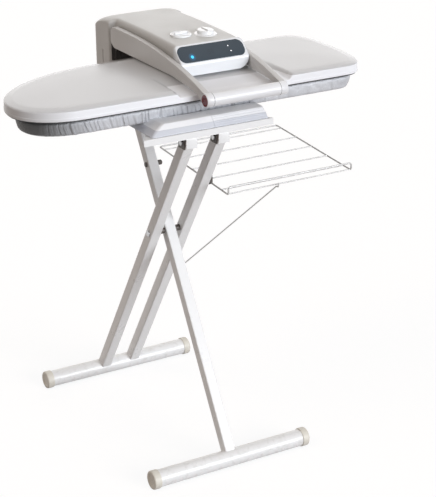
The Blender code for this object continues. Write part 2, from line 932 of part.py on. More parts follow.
def make_base(carrier, colours):
    """Two moulded pans, the steel beam, the rear base, the cord gland and the hinge bracket."""
    flange_top = pan_floor_z + pan_floor
    beam_low = flange_top + clearance
    beam_top = beam_low + beam_height
    sides = (("base_pan_left", pan_seam_x - clearance, -1), ("base_pan_right", pan_seam_x, 1))
    for name, seam, sign in sides:
        inner_seam = seam + sign * pan_wall
        levels = (
            (seam, 0, 0, pan_floor_z), (seam, 0, 0, flange_top),
            (seam, pan_break_in, 0, pan_top_z - pan_break_drop), (seam, pan_top_in, 0, pan_top_z),
            (inner_seam, pan_top_in, 0, pan_top_z - pan_wall),
            (inner_seam, pan_break_in, pan_wall, pan_top_z - pan_break_drop - pan_wall),
            (inner_seam, 0, 4 * pan_wall, flange_top),
        )
        loops = [[(x, y, z) for x, y in pan_outline(sign, side, inset, inner)]
                 for side, inset, inner, z in levels]
        piece = add(name, loft(loops), colours["white"], carrier, smooth=False)
        if sign > 0:
            rear_wall = pan_flange_rear - pan_top_in - pan_corner
            notch = box(
                (head_x - beam_half_width - clearance, rear_wall, flange_top),
                (head_x + beam_half_width + clearance, pan_flange_rear + overrun, pan_top_z + overrun))
            boolean(piece, cutter("beam_notch", notch, carrier))

    beam_section = (
        (-beam_half_width, beam_low), (beam_half_width, beam_low), (beam_half_width, beam_top),
        (beam_half_width - beam_plate, beam_top), (beam_half_width - beam_plate, beam_low + beam_plate),
        (-beam_half_width + beam_plate, beam_low + beam_plate), (-beam_half_width + beam_plate, beam_top),
        (-beam_half_width, beam_top),
    )
    add("base_beam", prism([(head_x + x, z) for x, z in beam_section], "Y", beam_front_y, beam_rear_y),
        colours["steel"], carrier, smooth=False)

    rear = add("rear_base", box(
        (head_x - rear_base_half_width, rear_base_front_y, rear_base_low_z),
        (head_x + rear_base_half_width, rear_base_rear_y, beam_low - clearance)),
        colours["grey"], carrier)
    bevel(rear, rear_base_edge)
    gland_z = (rear_base_low_z + beam_low) / 2
    gland_start = rear_base_rear_y + clearance
    gland_profile = (
        (gland_bore, gland_start), (gland_collar, gland_start),
        (gland_collar, gland_start + gland_length / 3),
        (gland_radius, gland_start + gland_length / 2),
        (gland_radius * gland_lip_share, gland_start + gland_length),
        (gland_bore, gland_start + gland_length),
    )
    add("cord_gland", turned(gland_profile, "Y", (gland_x, gland_z), ring=True), colours["black"], carrier)

    plate_low = beam_low + beam_plate + clearance
    half_gap = bracket_gap / 2
    ear_top = hinge_z + bracket_top_above
    section = (
        (-half_gap - bracket_ear, plate_low), (half_gap + bracket_ear, plate_low),
        (half_gap + bracket_ear, ear_top), (half_gap, ear_top), (half_gap, plate_low + bracket_plate),
        (-half_gap, plate_low + bracket_plate), (-half_gap, ear_top), (-half_gap - bracket_ear, ear_top),
    )
    bracket = add("hinge_bracket", prism([(head_x + x, z) for x, z in section], "Y",
                                         hinge_y - bracket_half_depth, hinge_y + bracket_half_depth),
                  colours["steel"], carrier, smooth=False)
    reach = half_gap + bracket_ear + overrun
    boolean(bracket, cutter("hinge_bore", rod(hinge_pin_radius + clearance, "X", (hinge_y, hinge_z),
                                              head_x - reach, head_x + reach), carrier))
    ear_reach = half_gap + bracket_ear + clearance
    add("hinge_pin", pin(hinge_pin_radius, hinge_pin_head, hinge_head_length, "X", (hinge_y, hinge_z),
                         head_x - ear_reach, head_x + ear_reach), colours["steel"], carrier)
    make_lift_spring(carrier, colours, plate_low + bracket_plate)


def make_lift_spring(carrier, colours, floor_z):
    """Torsion spring on the hinge pin that carries part of the head's weight.

    The coil is a helix about the pin. One leg stands on the bracket's floor behind the pin and
    the other runs up in front of it and turns in to the lift arm's side.
    """
    start_x = head_x - bracket_gap / 2 + spring_wire_radius + clearance
    points = [(start_x, hinge_y + spring_coil_radius, floor_z + spring_wire_radius + clearance)]
    turns = spring_turns + 0.5
    count = int(turns * spring_steps)
    for k in range(count + 1):
        share = k / spring_steps
        angle = 2 * math.pi * share
        points.append((
            start_x + spring_pitch * share,
            hinge_y + spring_coil_radius * math.cos(angle),
            hinge_z + spring_coil_radius * math.sin(angle),
        ))
    leg_y = hinge_y - spring_coil_radius
    last_x = points[-1][0]
    arm_side = head_x - lift_arm_thickness / 2 - clearance
    points.append((last_x, leg_y, hinge_z - spring_wire_radius))
    down = points.pop()
    points.append((last_x, leg_y, hinge_z + spring_leg_rise))
    bend = spring_wire_radius * 2
    leg_end = (arm_side, leg_y, down[2] + spring_leg_rise + spring_wire_radius)
    tail = bend_corners([points[-2], points[-1], leg_end],
                        bend, steps=2)
    coil = points[:-2] + [tuple(point) for point in tail]
    least = spring_pitch - 2 * spring_wire_radius
    print("lift spring least gap to itself", round(least, 5))
    add("lift_spring", sweep(coil, spring_wire_radius, sides=6), colours["steel"], carrier)


def make_head(carrier, colours):
    """Arm cover, column, fascia and what they hold."""
    loops = []
    for k in range(cover_stations):
        y = cover_front_y + clearance + (cover_rear_y - cover_front_y - clearance) * k / (cover_stations - 1)
        top = cover_top(y)

        def shell(half, high, corner):
            """One side of the section, from the left foot over the top to the right foot."""
            left = arc((head_x - half + corner, high - corner), corner, 180, 90, 4)
            right = arc((head_x + half - corner, high - corner), corner, 90, 0, 4)
            return [(head_x - half, cover_bottom_z)] + left + right + [(head_x + half, cover_bottom_z)]

        outer = shell(cover_half_width, top, cover_corner)
        inner = shell(cover_half_width - cover_wall, top - cover_wall, cover_corner - cover_wall)
        loops.append([(x, y, z) for x, z in outer + list(reversed(inner))])
    cover = add("arm_cover", loft(loops), colours["grey"], carrier)
    for name, x, y, radius in (("filler_hole", filler_x, filler_y, neck_radius + clearance),
                               ("dial_hole", dial_x, dial_y, dial_stem_radius + clearance)):
        hole = rod(radius, "Z", (0, 0), -overrun - cover_wall, overrun)
        boolean(cover, cutter(name, hole, carrier, at=(x, y, cover_top(y)), turn_x=cover_tilt(y)))
    shaft_hole = rod(yoke_shaft_radius + clearance, "X", (yoke_shaft_y, yoke_shaft_z),
                     head_x - cover_half_width - overrun, head_x + cover_half_width + overrun)
    boolean(cover, cutter("shaft_holes", shaft_hole, carrier))

    plate_half = cover_half_width - cover_wall - clearance
    plate = add("under_cover", box(
        (head_x - plate_half, cover_front_y + clearance, cover_bottom_z),
        (head_x + plate_half, cover_rear_y, cover_bottom_z + under_cover_thickness)),
        colours["grey"], carrier, smooth=False)
    window = box((head_x - under_window_x, platen_pin_y - under_window_y, cover_bottom_z - overrun),
                 (head_x + under_window_x, platen_pin_y + under_window_y, cover_bottom_z + overrun))
    boolean(plate, cutter("under_window", window, carrier))

    make_column(carrier, colours)
    make_fascia(carrier, colours)
    make_lift_arm(carrier, colours)
    reach = arm_inner + yoke_socket_depth - clearance
    shaft = rod(yoke_shaft_radius, "X", (yoke_shaft_y, yoke_shaft_z), head_x - reach, head_x + reach)
    add("yoke_shaft", shaft,
        colours["steel"], carrier)
    ear_reach = platen_ear_gap / 2 + platen_ear + clearance
    add("platen_pin", pin(platen_pin_radius, platen_pin_head, hinge_head_length, "X",
                          (platen_pin_y, platen_pin_z), head_x - ear_reach, head_x + ear_reach),
        colours["steel"], carrier)
    make_tank(carrier, colours)


def round_side_edges(shape, half, floor_z, radius):
    """Round the edges that run round both sides of a shape extruded along X, but not its floor's."""
    edges = []
    for edge in shape.edges:
        a, b = (vert.co for vert in edge.verts)
        along_side = abs(abs(a.x - head_x) - half) < clearance and abs(a.x - b.x) < clearance
        on_floor = max(a.z, b.z) < floor_z + clearance
        if along_side and not on_floor:
            edges.append(edge)
    bmesh.ops.bevel(shape, geom=edges, offset=radius, segments=3, profile=0.5, affect="EDGES")


def make_column(carrier, colours):
    """Rear column of the head: a shell that is open below and in front."""
    top = cover_top(cover_rear_y) - clearance
    rear_top_y = column_rear_y - column_lean
    shoulder_z = top - column_shoulder_drop
    steps = 5
    crown = []
    for k in range(steps + 1):
        angle = math.pi / 2 * k / steps
        crown.append((
            column_shoulder_y + (rear_top_y - column_shoulder_y) * math.cos(angle),
            shoulder_z + column_shoulder_drop * math.sin(angle),
        ))
    outline = [(column_front_y, column_bottom_z), (column_rear_y, column_bottom_z)] + crown
    outline.append((column_front_y, top))
    shape = prism(outline, "X", head_x - column_half_width, head_x + column_half_width)
    round_side_edges(shape, column_half_width, column_bottom_z, column_edge)
    shell = add("column_shell", shape, colours["grey"], carrier)
    wall = column_wall
    low = column_bottom_z - column_edge
    inside = [(column_front_y + wall, low), (column_rear_y - wall, low)]
    for k in range(steps + 1):
        angle = math.pi / 2 * k / steps
        inside.append((
            column_shoulder_y + (rear_top_y - wall - column_shoulder_y) * math.cos(angle),
            shoulder_z + (column_shoulder_drop - wall) * math.sin(angle),
        ))
    inside.append((column_front_y + wall, top - wall))
    hollow = prism(inside, "X", head_x - column_half_width + wall, head_x + column_half_width - wall)
    round_side_edges(hollow, column_half_width - wall, low, column_edge - wall)
    boolean(shell, cutter("column_hollow", hollow, carrier))
    inner_half = cover_half_width - cover_wall
    window = box((head_x - inner_half, column_front_y - overrun, cover_bottom_z + under_cover_thickness),
                 (head_x + inner_half, column_front_y + wall + overrun, top - 2 * wall))
    boolean(shell, cutter("column_window", window, carrier))
    slot_low = column_bottom_z + column_slot_low
    slot = box(
        (head_x - column_half_width - overrun, column_slot_y - column_slot_width / 2, slot_low),
        (head_x + column_half_width + overrun, column_slot_y + column_slot_width / 2,
         slot_low + column_slot_height))
    boolean(shell, cutter("column_slots", slot, carrier))


def fascia_front(inset):
    """Block along Y with the fascia's shape from the front: wide round corners below."""
    half = fascia_half_width - inset
    low = cover_bottom_z - fascia_foot_drop + inset
    high = panel_top_z + clearance - inset
    outline = []
    for sign, edge, radius, start in (
        (1, high, fascia_high_corner, 0), (-1, high, fascia_high_corner, 90),
        (-1, low, fascia_low_corner, 180), (1, low, fascia_low_corner, 270),
    ):
        centre_z = edge - radius if start < 180 else edge + radius
        outline += arc((head_x + sign * (half - radius), centre_z), radius, start, start + 90, 5)
    return prism(outline, "Y", fascia_foot_y - overrun, cover_front_y + overrun)


def make_fascia(carrier, colours):
    """White front of the head, with its glass touch panel and the circuit card behind it."""
    top = cover_top(cover_front_y)
    foot_z_low = cover_bottom_z - fascia_foot_drop
    half = fascia_half_width
    outline = (
        (cover_front_y, cover_bottom_z), (cover_front_y, top), (panel_top_y, panel_top_z),
        (panel_bottom_y, panel_bottom_z), (fascia_foot_y, foot_z_low),
    )
    fascia = add("front_fascia", prism(outline, "X", head_x - half, head_x + half), colours["white"], carrier)
    boolean(fascia, cutter("fascia_front", fascia_front(0), carrier), "INTERSECT")
    bevel(fascia, fascia_edge, angle=math.radians(38))
    wall = fascia_wall
    up = panel_rise.normalized()
    back = Vector((0, up.z, -up.y)) * wall
    inner_high = Vector((0, panel_top_y, panel_top_z)) + back - up * wall
    inner_low = Vector((0, panel_bottom_y, panel_bottom_z)) + back
    inside = (
        (cover_front_y + overrun, cover_bottom_z + wall), (cover_front_y + overrun, top - wall),
        (inner_high.y, inner_high.z), (inner_low.y, inner_low.z),
        (fascia_foot_y + wall, cover_bottom_z + wall),
    )
    hollow = cutter("fascia_hollow", prism(inside, "X", head_x - half, head_x + half), carrier)
    boolean(hollow, cutter("fascia_hollow_front", fascia_front(wall), carrier), "INTERSECT")
    boolean(fascia, hollow)
    opening = rounded_rect(glass_width + 2 * clearance, glass_height + 2 * clearance, glass_corner, steps=4)
    pocket = prism(opening, "Z", -pocket_depth, overrun)
    boolean(fascia, cutter("glass_pocket", pocket, carrier, at=panel_middle, turn_x=panel_turn))
    glass_outline = rounded_rect(glass_width, glass_height, glass_corner, steps=4)
    glass_low = clearance - pocket_depth
    add("control_glass", prism(glass_outline, "Z", glass_low, glass_low + glass_thickness),
        colours["glass"], carrier, at=panel_middle, turn_x=panel_turn, smooth=False)
    card = rounded_rect(card_width, card_height, glass_thickness)
    card_top = -fascia_wall - clearance
    add("control_card", prism(card, "Z", card_top - card_thickness, card_top),
        colours["card"], carrier, at=panel_middle, turn_x=panel_turn, smooth=False)


def make_lift_arm(carrier, colours):
    """Cast lever that joins the hinge pin in the column to the platen's pivot."""
    shoulder_z = lift_arm_low_z + lift_arm_shoulder_height
    knee_z = shoulder_z - lift_arm_knee_drop
    outline = (
        (platen_pin_y - lift_arm_nose, lift_arm_low_z), (lift_arm_shoulder_y, lift_arm_low_z),
        (hinge_y - lift_hub_radius, lift_arm_low_z - lift_arm_knee_drop),
        (hinge_y - lift_hub_radius, hinge_z), (hinge_y + lift_hub_radius, hinge_z),
        (hinge_y + lift_hub_radius, knee_z - lift_arm_knee_drop), (hinge_y, knee_z),
        (lift_arm_shoulder_y, shoulder_z), (lift_arm_rise_y, lift_arm_low_z + lift_arm_rise_height),
        (platen_pin_y - lift_arm_nose, lift_arm_low_z + lift_arm_front_height),
    )
    half = lift_arm_thickness / 2
    arm = add("lift_arm", prism(outline, "X", head_x - half, head_x + half), colours["alloy"], carrier)
    for name, radius, length, centre in (
        ("hinge_hub", lift_hub_radius, lift_hub_length, (hinge_y, hinge_z)),
        ("platen_hub", platen_hub_radius, platen_hub_length, (platen_pin_y, platen_pin_z)),
    ):
        hub = rod(radius, "X", centre, head_x - length / 2, head_x + length / 2, sides=20)
        boolean(arm, cutter(name, hub, carrier), "UNION")
    for name, radius, centre in (
        ("hinge_hub_bore", hinge_pin_radius, (hinge_y, hinge_z)),
        ("platen_hub_bore", platen_pin_radius, (platen_pin_y, platen_pin_z)),
        ("yoke_bore", yoke_shaft_radius, (yoke_shaft_y, yoke_shaft_z)),
    ):
        bore = rod(radius + clearance, "X", centre, head_x - lift_hub_length, head_x + lift_hub_length)
        boolean(arm, cutter(name, bore, carrier))


def make_tank(carrier, colours):
    """Water tank under the filler hole, with its neck."""
    low_z = cover_bottom_z + under_cover_thickness + clearance
    left = head_x - cover_half_width + cover_wall + tank_left_gap
    centre_x = left + tank_width / 2
    centre_y = tank_front_y + tank_length / 2
    outer = [(centre_x + x, centre_y + y) for x, y in rounded_rect(tank_width, tank_length, tank_corner)]
    inner = [(centre_x + x, centre_y + y) for x, y in rounded_rect(
        tank_width - 2 * tank_wall, tank_length - 2 * tank_wall, tank_corner - tank_wall)]
    tank = add("water_tank", prism(outer, "Z", low_z, low_z + tank_height), colours["tank"], carrier)
    neck_top = cover_top(filler_y - neck_radius) - cover_wall - clearance
    neck = rod(neck_radius, "Z", (filler_x, filler_y), low_z + tank_height / 2, neck_top, sides=20)
    boolean(tank, cutter("tank_neck", neck, carrier), "UNION")
    hollow = prism(inner, "Z", low_z + tank_wall, low_z + tank_height - tank_wall)
    boolean(tank, cutter("tank_hollow", hollow, carrier))
    bore = rod(neck_radius - neck_wall + clearance, "Z", (filler_x, filler_y),
               low_z + tank_height / 2, neck_top + overrun, sides=20)
    boolean(tank, cutter("neck_bore", bore, carrier))


def make_top_controls(cap_carrier, dial_carrier, colours):
    """Filler cap with its grip bar, and the steam dial."""
    profile = (
        (0, -cap_skirt_depth), (cap_skirt_radius - clearance, -cap_skirt_depth),
        (cap_skirt_radius - clearance, 0), (cap_disc_radius, 0),
        (cap_disc_radius, cap_disc_height - cap_round),
        (cap_disc_radius - cap_round, cap_disc_height), (0, cap_disc_height),
    )
    seat = (filler_x, filler_y, cover_top(filler_y) + clearance)
    tilt = cover_tilt(filler_y)
    cap = add("filler_cap", turned(profile, "Z", (0, 0), sides=28), colours["grey"], cap_carrier,
              at=seat, turn_x=tilt)
    grip = rounded_rect(cap_grip_length, cap_grip_width, cap_grip_width / 2 - clearance, steps=3)
    bar = prism(grip, "Z", cap_disc_height / 2, cap_disc_height + cap_grip_height)
    boolean(cap, cutter("cap_grip", bar, cap_carrier, at=seat, turn_x=tilt), "UNION")
    knob_top = dial_knob_height + cap_round / 2
    profile = (
        (0, -dial_stem_depth), (dial_stem_radius, -dial_stem_depth), (dial_stem_radius, 0),
        (dial_base_radius, 0), (dial_base_radius, dial_base_height),
        (dial_knob_radius, dial_base_height + cap_round / 2),
        (dial_knob_radius - cap_round / 2, dial_knob_height),
        (dial_knob_radius - cap_round, knob_top), (0, knob_top),
    )
    seat = (dial_x, dial_y, cover_top(dial_y) + clearance)
    tilt = cover_tilt(dial_y)
    dial = add("steam_dial", turned(profile, "Z", (0, 0), sides=28), colours["white"], dial_carrier,
               at=seat, turn_x=tilt)
    grip = rounded_rect(2 * dial_knob_radius - 3 * cap_round, dial_grip_width, cap_round, steps=2)
    bar = prism(grip, "Z", dial_knob_height / 2, knob_top + dial_grip_height)
    boolean(dial, cutter("dial_grip", bar, dial_carrier, at=seat, turn_x=tilt), "UNION")


def arm_outline():
    """Side outline of a yoke arm.

    Its top falls from the crest to the handle with a power of the way there, and its underside
    is flat over the platen, then follows the platen's sloping middle. Its front end runs into
    the handle, which cuts its own seat.
    """
    tip_turn = math.radians(arm_tip_turn)
    heel_turn = math.radians(arm_heel_turn)
    tip_y = handle_y + (handle_radius + arm_tip_proud) * math.cos(tip_turn)
    tip_z = handle_z + (handle_radius + arm_tip_proud) * math.sin(tip_turn)
    top = []
    for k in range(arm_curve_steps + 1):
        share = k / arm_curve_steps
        top.append((arm_crest_y + (tip_y - arm_crest_y) * share,
                    arm_top_z - (arm_top_z - tip_z) * share ** arm_drop_power_share))
    toe_y = platen_front - arm_toe_back
    front_low_z = ramp_z(platen_front) + arm_ramp_gap
    under = [
        (handle_y, handle_z),
        (handle_y + handle_radius * math.cos(heel_turn), handle_z + handle_radius * math.sin(heel_turn)),
        (toe_y, front_low_z - arm_toe_drop), (toe_y + arm_toe_back * 2, front_low_z),
        (arm_flat_end_y, arm_bottom_z),
    ]
    low_centre = (arm_rear_y - arm_rear_round, arm_bottom_z + arm_rear_round)
    high_centre = (arm_rear_y - arm_rear_top_round, arm_top_z - arm_rear_top_round)
    rear = arc(low_centre, arm_rear_round, 270, 360, 5) + arc(high_centre, arm_rear_top_round, 0, 90, 5)
    return top + under + rear


def make_yoke(carrier, left_button, right_button, colours):
    """Two arms joined by the handle, and a steam button in each end of it."""
    outline = arm_outline()
    screw_z = handle_z + handle_screw_above
    seat_y = handle_y + handle_screw_back
    for side, sign in (("left", -1), ("right", 1)):
        name = "yoke_arm_" + side
        inner_face = head_x + sign * arm_inner
        outer_face = head_x + sign * arm_outer
        faces = sorted((inner_face, outer_face))
        arm = add(name, prism(outline, "X", *faces), colours["grey"], carrier)
        bevel(arm, arm_edge)
        span = sorted((inner_face - sign * overrun, inner_face + sign * yoke_socket_depth))
        boolean(arm, cutter(name + "_socket", rod(yoke_shaft_radius + clearance, "X",
                                                  (yoke_shaft_y, yoke_shaft_z), *span), carrier))
        boolean(arm, cutter(name + "_seat", rod(handle_radius + clearance, "X", (handle_y, handle_z),
                                                faces[0] - overrun, faces[1] + overrun, sides=24), carrier))
        screw_x = inner_face + sign * handle_screw_inset
        tip = handle_y + handle_radius - handle_screw_reach
        boolean(arm, cutter(name + "_screw_hole", rod(
            handle_screw_radius + clearance, "Y", (screw_x, screw_z), tip, seat_y + overrun), carrier))
        boolean(arm, cutter(name + "_screw_pocket", rod(
            handle_screw_head + clearance, "Y", (screw_x, screw_z), seat_y, platen_front + overrun), carrier))
        head_y = seat_y + clearance
        profile = (
            (0, tip), (handle_screw_radius, tip), (handle_screw_radius, head_y), (handle_screw_head, head_y),
            (handle_screw_head, head_y + handle_screw_head_length), (0, head_y + handle_screw_head_length),
        )
        screw = turned(profile, "Y", (screw_x, screw_z), sides=12)
        add("handle_screw_" + side, screw, colours["steel"], carrier)
    inner = handle_radius - handle_wall
    half_groove = handle_groove_width / 2
    grip = [(handle_radius, head_x - arm_outer)]
    for sign in (-1, 1):
        middle = head_x + sign * handle_seam_x
        grip += [(handle_radius, middle - half_groove), (handle_radius - handle_groove, middle),
                 (handle_radius, middle + half_groove)]
    grip += [(handle_radius, head_x + arm_outer), (inner, head_x + arm_outer), (inner, head_x - arm_outer)]
    tube = add("handle_grip", turned(grip, "X", (handle_y, handle_z), sides=24, ring=True),
               colours["white"], carrier)
    for side, sign in (("left", -1), ("right", 1)):
        screw_x = head_x + sign * (arm_inner + handle_screw_inset)
        hole = rod(handle_screw_radius + clearance, "Y", (screw_x, screw_z),
                   handle_y + handle_radius - handle_screw_reach, handle_y + handle_radius + overrun)
        boolean(tube, cutter("handle_screw_hole_" + side, hole, carrier))
    buttons = (("steam_button_left", -1, left_button), ("steam_button_right", 1, right_button))
    for name, sign, button_carrier in buttons:
        face = arm_outer + button_proud
        profile = (
            (0, head_x + sign * (face - button_dish)),
            (button_radius * button_rim_share, head_x + sign * (face - button_dish)),
            (button_radius * button_lip_share, head_x + sign * face),
            (button_radius - button_dish, head_x + sign * face),
            (button_radius, head_x + sign * (face - button_dish)),
            (button_radius, head_x + sign * (face - button_thickness)),
            (0, head_x + sign * (face - button_thickness)),
        )
        add(name, turned(profile, "X", (handle_y, handle_z), sides=24), colours["red"], button_carrier)


def make_leg(name, x, foot_y, turn, length, carrier, colours):
    """A square tube that stands on a foot tube, with its end cut to the tube's curve."""
    shape = hollow_bar(leg_size, leg_size, leg_corner, leg_wall, 0, length)
    leg = add(name, shape, colours["stand"], carrier, at=(x, foot_y, foot_z), turn_x=turn)
    saddle = rod(foot_radius + clearance, "X", (foot_y, foot_z), x - leg_size, x + leg_size, sides=foot_sides)
    boolean(leg, cutter(name + "_saddle", saddle, carrier))
    return leg


def drill(piece, name, radius, centre, x_low, x_high, carrier):
    """Drill a round hole along X."""
    boolean(piece, cutter(name, rod(radius, "X", centre, x_low, x_high), carrier))


def make_foot(name, y, carrier, colours):
    """Foot tube with a moulded cap on each end, flattened where it stands on the floor."""
    half = foot_length / 2
    tube_half = half - end_cap_end
    add(name, hollow_tube(foot_radius, foot_wall, "X", (y, foot_z), foot_centre_x - tube_half,
                          foot_centre_x + tube_half, foot_sides), colours["stand"], carrier)
    for side, sign in (("left", -1), ("right", 1)):
        def at(along):
            """Place along X at a distance from the cap's outer end."""
            return foot_centre_x + sign * (half - along)

        profile = (
            (0, at(0)), (end_cap_radius - end_cap_round, at(0)), (end_cap_radius, at(end_cap_round)),
            (end_cap_radius, at(end_cap_length)), (foot_radius + clearance, at(end_cap_length)),
            (foot_radius + clearance, at(end_cap_end - clearance)), (0, at(end_cap_end - clearance)),
        )
        cap = add(name + "_cap_" + side, turned(profile, "X", (y, foot_z), sides=foot_sides),
                  colours["cap"], carrier)
        floor = box((foot_centre_x - foot_length, y - end_cap_radius, -2 * end_cap_radius),
                    (foot_centre_x + foot_length, y + end_cap_radius, 0))
        boolean(cap, cutter(name + "_floor_" + side, floor, carrier))


def make_outer_legs(carrier, colours):
    """Pair of parallel legs with the rear foot, their bolts and the rack's stay."""
    length = outer_leg_length + leg_over_hinge
    for side, sign in (("left", -1), ("right", 1)):
        x = foot_centre_x + sign * leg_spread / 2
        leg = make_leg("outer_leg_" + side, x, rear_foot_y, outer_leg_turn, length, carrier, colours)
        reach = leg_size / 2 + overrun
        drill(leg, "outer_top_hole_" + side, bolt_radius + clearance, (leg_hinge_y, leg_hinge_z),
              x - reach, x + reach, carrier)
        drill(leg, "outer_middle_hole_" + side, crossing_radius + clearance, (crossing_y, crossing_z),
              x - reach, x + reach, carrier)
        ear_reach = leg_size / 2 + leg_play + leg_bracket_plate + clearance
        add("leg_bolt_" + side, pin(bolt_radius, bolt_head_radius, bolt_head, "X", (leg_hinge_y, leg_hinge_z),
                                    x - ear_reach, x + ear_reach), colours["steel"], carrier)
        if side == "right":
            face = x + leg_size / 2
            drill(leg, "rack_bolt_hole", bolt_radius + clearance, (rack_pivot_y, rack_pivot_z),
                  face - leg_wall - overrun, face + overrun, carrier)
            drill(leg, "stay_hole", stay_wire + clearance, (stay_foot_y, stay_foot_z),
                  face - leg_wall - overrun, face + overrun, carrier)
            make_rack_carriers(face, carrier, colours)
    reach = leg_spread / 2 + leg_size / 2 + clearance
    add("crossing_bolt", pin(crossing_radius, crossing_head_radius, bolt_head, "X", (crossing_y, crossing_z),
                             foot_centre_x - reach, foot_centre_x + reach), colours["steel"], carrier)
    make_foot("rear_foot", rear_foot_y, carrier, colours)


def make_rack_carriers(face, carrier, colours):
    """Bolt that the rack turns on, and the wire stay that holds up its front."""
    bolt_end = rack_left + rack_hub_width / 2 + clearance
    profile = (
        (0, face - rack_bolt_inset), (bolt_radius, face - rack_bolt_inset), (bolt_radius, bolt_end),
        (bolt_head_radius, bolt_end), (bolt_head_radius, bolt_end + rack_bolt_out),
        (0, bolt_end + rack_bolt_out),
    )
    add("rack_bolt", turned(profile, "X", (rack_pivot_y, rack_pivot_z), sides=16), colours["steel"], carrier)
    wire_y = rack_front
    wire_z = rack_z(rack_front)
    hook = rack_wire + stay_hook_play + stay_wire
    foot = Vector((face + stay_stand_off, stay_foot_y, stay_foot_z))
    under = Vector((stay_top_x, wire_y + hook, wire_z - hook))
    path = [
        (face - rack_bolt_inset / 2, stay_foot_y, stay_foot_z),
        tuple(foot),
        tuple(under),
        (stay_top_x, wire_y - hook, wire_z - hook),
        (stay_top_x, wire_y - hook, wire_z + stay_hook_tail),
    ]
    add("rack_stay", sweep(bend_corners(path, hook - clearance * 2, steps=3), stay_wire, sides=6),
        colours["wire"], carrier)


def make_inner_leg(carrier, colours):
    """Single leg with the front foot, the rear bar in its cradle, spacers and the stop knob."""
    length = inner_leg_length - rear_bar_radius - clearance
    leg = make_leg("inner_leg", foot_centre_x, front_foot_y, inner_leg_turn, length, carrier, colours)
    reach = leg_size / 2 + overrun
    share = (stop_knob_z - foot_z) / (rear_bar_z - foot_z)
    knob_y = front_foot_y + (rear_bar_y - front_foot_y) * share
    drill(leg, "stop_knob_hole", bolt_radius + clearance, (knob_y, stop_knob_z),
          foot_centre_x - reach, foot_centre_x + reach, carrier)
    drill(leg, "inner_middle_hole", crossing_radius + clearance, (crossing_y, crossing_z),
          foot_centre_x - reach, foot_centre_x + reach, carrier)
    left_face = foot_centre_x - leg_size / 2 - clearance
    right_face = foot_centre_x + leg_size / 2 + clearance
    profile = (
        (0, left_face - bolt_head), (bolt_head_radius, left_face - bolt_head), (bolt_head_radius, left_face),
        (bolt_radius, left_face), (bolt_radius, right_face), (stop_knob_radius, right_face),
        (stop_knob_radius, right_face + stop_knob_length - cap_round),
        (stop_knob_radius - cap_round, right_face + stop_knob_length), (0, right_face + stop_knob_length),
    )
    add("stop_knob", turned(profile, "X", (knob_y, stop_knob_z), sides=16), colours["dark"], carrier)

    gap = leg_spread / 2 - leg_size
    for side, sign in (("left", -1), ("right", 1)):
        middle = foot_centre_x + sign * (leg_size / 2 + gap / 2)
        half = gap / 2 - spacer_inner_play
        add("crossing_spacer_" + side, hollow_tube(
            spacer_radius, spacer_radius - crossing_radius - clearance, "X", (crossing_y, crossing_z),
            middle - half, middle + half, 18), colours["dark"], carrier)
    add("rear_bar", hollow_tube(rear_bar_radius, bar_wall, "X", (rear_bar_y, rear_bar_z),
                                bar_centre_x - rear_bar_length / 2, bar_centre_x + rear_bar_length / 2, 20),
        colours["stand"], carrier)
    make_cradle(carrier, colours)
    make_foot("front_foot", front_foot_y, carrier, colours)


def make_cradle(carrier, colours):
    """Folded plate that wraps the inner leg's top and holds the rear bar from below."""
    inner = leg_size / 2 + clearance
    outer = inner + cradle_plate
    section = (
        (-outer, -outer), (outer, -outer), (outer, inner), (inner, inner),
        (inner, -inner), (-inner, -inner), (-inner, inner), (-outer, inner),
    )
    low = inner_leg_length - cradle_length
    cradle = add("rear_bar_cradle", prism(section, "Z", low, inner_leg_length + cradle_above),
                 colours["dark"], carrier, at=(foot_centre_x, front_foot_y, foot_z), turn_x=inner_leg_turn,
                 smooth=False)
    seat = rod(rear_bar_radius + clearance, "X", (rear_bar_y, rear_bar_z),
               foot_centre_x - outer - overrun, foot_centre_x + outer + overrun, sides=20)
    boolean(cradle, cutter("cradle_seat", seat, carrier))
    level = box((foot_centre_x - 2 * outer, rear_bar_y - 2 * outer, rear_bar_z + cradle_above),
                (foot_centre_x + 2 * outer, rear_bar_y + 2 * outer, rear_bar_z + 2 * outer))
    boolean(cradle, cutter("cradle_level", level, carrier))


